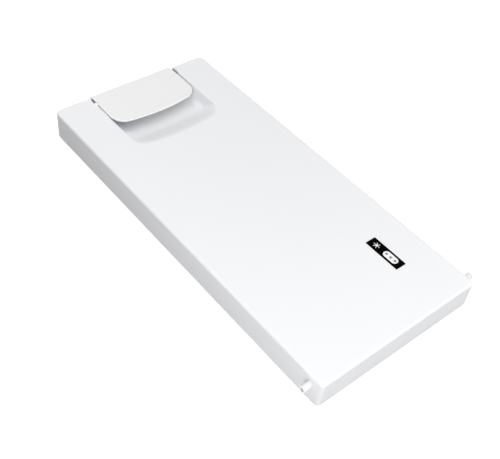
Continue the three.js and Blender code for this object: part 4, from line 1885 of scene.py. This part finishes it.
@dataclass
class Studio:
    """The pale floor, the soft lights and the camera."""

    aim: tuple[float, float, float] = (0.04889, -0.03863, 0.038)
    distance: float = 0.88392
    azimuth: float = -45.053
    elevation: float = 46.042
    roll: float = 7.805
    lens: float = 59.142
    floor_drop: float = 0.3 * MM  # clear of the seal's underside
    floor_bounce: float = 0.35
    floor_glow: float = 0.7
    ambient: float = 0.12
    lights: tuple[SoftLight, ...] = (
        SoftLight("over_handle", (-0.9, 0.0, 1.1), 1.0, 7.9),
        SoftLight("over_hinge", (0.9, 0.5, 1.1), 0.7, 2.4),
        SoftLight("over_middle", (0.0, 0.0, 1.5), 1.6, 4.4),
        SoftLight("over_back", (0.0, 0.9, 1.4), 1.2, 5.0),
        SoftLight("at_end", (0.95, 0.2, 0.4), 0.6, 4.2),
        SoftLight("beside_pin", (0.45, -0.78, 0.3), 0.5, 4.4),
    )

    def build(self) -> None:
        """Sets up the floor, the world, the lights and the camera."""
        self._floor()
        self._world()
        for light in self.lights:
            light.hang()
        self._camera()
        bpy.context.scene.view_settings.view_transform = "Standard"

    def _floor(self) -> None:
        """Lays the floor under the seal. It looks white, and throws little light back."""
        deselect()
        bpy.ops.mesh.primitive_plane_add(size=12, location=(0, 0, -self.floor_drop))
        floor = fresh("floor")
        made, tree, shader = blank("floor_white")
        nodes, links = tree.nodes, tree.links
        place, noise, cloud, tone, path, glow = (
            nodes.new(f"ShaderNode{kind}")
            for kind in ("TexCoord", "TexNoise", "Mix", "Mix", "LightPath", "Math")
        )
        noise.inputs["Scale"].default_value = 3.0
        for mix in (cloud, tone):
            mix.data_type = "RGBA"
        cloud.inputs["A"].default_value = (0.93, 0.93, 0.93, 1.0)
        cloud.inputs["B"].default_value = (0.95, 0.95, 0.95, 1.0)
        tone.inputs["A"].default_value = (*3 * (self.floor_bounce,), 1.0)
        glow.operation = "MULTIPLY"
        glow.inputs[1].default_value = self.floor_glow
        links.new(place.outputs["Object"], noise.inputs["Vector"])
        links.new(noise.outputs["Fac"], cloud.inputs["Factor"])
        links.new(path.outputs["Is Camera Ray"], tone.inputs["Factor"])
        links.new(path.outputs["Is Camera Ray"], glow.inputs[0])
        links.new(cloud.outputs["Result"], tone.inputs["B"])
        links.new(tone.outputs["Result"], shader.inputs["Base Color"])
        links.new(glow.outputs[0], shader.inputs["Emission Strength"])
        shader.inputs["Roughness"].default_value = 0.9
        shader.inputs["Specular IOR Level"].default_value = 0.1
        shader.inputs["Emission Color"].default_value = (1.0, 1.0, 1.0, 1.0)
        floor.data.materials.append(made)

    def _world(self) -> None:
        """Gives a pale surround that lights the door only faintly."""
        world = bpy.data.worlds.new("studio")
        bpy.context.scene.world = world
        world.use_nodes = True
        nodes, links = world.node_tree.nodes, world.node_tree.links
        faint, seen = nodes["Background"], nodes.new("ShaderNodeBackground")
        faint.inputs["Color"].default_value = (1.0, 1.0, 1.0, 1.0)
        faint.inputs["Strength"].default_value = self.ambient
        seen.inputs["Color"].default_value = (0.96, 0.96, 0.96, 1.0)
        path, choose = nodes.new("ShaderNodeLightPath"), nodes.new("ShaderNodeMixShader")
        links.new(path.outputs["Is Camera Ray"], choose.inputs["Fac"])
        links.new(faint.outputs["Background"], choose.inputs[1])
        links.new(seen.outputs["Background"], choose.inputs[2])
        links.new(choose.outputs["Shader"], nodes["World Output"].inputs["Surface"])

    def _camera(self) -> None:
        """Places the camera by its aim, angles and distance."""
        azimuth, elevation = math.radians(self.azimuth), math.radians(self.elevation)
        ahead = Vector((math.sin(azimuth), math.cos(azimuth), -math.tan(elevation))).normalized()
        deselect()
        bpy.ops.object.camera_add(location=Vector(self.aim) - ahead * self.distance)
        camera = bpy.context.object
        camera.rotation_mode = "QUATERNION"
        level = ahead.to_track_quat("-Z", "Y")
        camera.rotation_quaternion = Quaternion(ahead, math.radians(-self.roll)) @ level
        camera.data.lens = self.lens
        camera.data.clip_start = 0.01
        bpy.context.scene.camera = camera


# ---- The whole door ------------------------------------------------------------------------------
CARRIED_OVER = {
    "foam_core": Surface.FOAM,
    "axle_bush_lower": Surface.ACETAL,
    "axle_bush_upper": Surface.ACETAL,
    "hinge_block_lower": Surface.ACETAL,
    "hinge_block_upper": Surface.ACETAL,
    "pin_cap_lower": Surface.ACETAL,
    "pin_cap_upper": Surface.ACETAL,
}
SEAL_NODES = ("gasket_lower", "gasket_upper", "gasket_handle_end", "gasket_hinge_end")


@dataclass
class Assembly:
    """Dresses finished pieces and puts each on its body."""

    materials: dict[Surface, Material]

    def place(self, obj: Object, body: str, surface: Surface, *replaced: str) -> None:
        """Dresses a piece and puts it on its body.

        Args:
            obj: The piece.
            body: The body that it rides on.
            surface: Its finish.
            replaced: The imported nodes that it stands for.
        """
        dress(obj, surface, self.materials)
        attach(obj, body)
        if replaced:
            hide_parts(*replaced)
        log.info("%s: %d faces, on %s", obj.name, len(obj.data.polygons), body)

    def fit_spring(self, coil: Object) -> None:
        """Puts a spring on the door, and gives it a mesh of its own.

        Args:
            coil: The spring, named for the node that it replaces.
        """
        node = coil.name.removesuffix("_coil")
        self.place(coil, "door", Surface.SPRING, node)
        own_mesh(coil)

    def keep(self, node: str, surface: Surface) -> None:
        """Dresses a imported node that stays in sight."""
        dress(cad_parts[node], surface, self.materials)
        log.info("%s: kept as packed", node)


def main() -> None:
    """Builds the door's pieces in order and sets the stage round them."""
    logging.basicConfig(level=logging.INFO, format="%(message)s")
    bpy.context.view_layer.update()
    layout = Layout.read()
    door = Assembly(finishes())

    door.place(FrontShell(layout).build(), "door", Surface.SHELL, "front_shell")
    handle = Handle(layout)
    door.place(handle.flap(), "handle", Surface.HANDLE, "handle_flap")
    door.place(handle.hook(), "handle", Surface.ACETAL, "latch_hook")
    door.place(handle.axle(), "handle", Surface.STEEL, "handle_axle")
    for spring in handle.springs():
        door.fit_spring(spring)
    hinge = HingePins(layout)
    pins = hinge.pins()
    door.place(pins["hinge_pin_lower"], "door", Surface.PIN, "hinge_pin_lower")
    door.place(pins["hinge_pin_upper"], "upper_pin", Surface.PIN, "hinge_pin_upper")
    door.fit_spring(hinge.spring())
    back = Back(layout)
    door.place(back.panel(), "door", Surface.LINER, "rear_panel")
    door.place(back.seal(), "door", Surface.SEAL, *SEAL_NODES)
    for screw in back.screws():
        door.place(screw, "door", Surface.STEEL, screw.name.removesuffix("_steel"))
    badge = StarBadge(layout).build()
    door.place(badge["label"], "door", Surface.LABEL, "star_badge")
    door.place(badge["white"], "door", Surface.PRINT)
    door.place(badge["dark"], "door", Surface.LABEL)
    for node, surface in CARRIED_OVER.items():
        door.keep(node, surface)
    Studio().build()


if __name__ == "__main__":
    main()
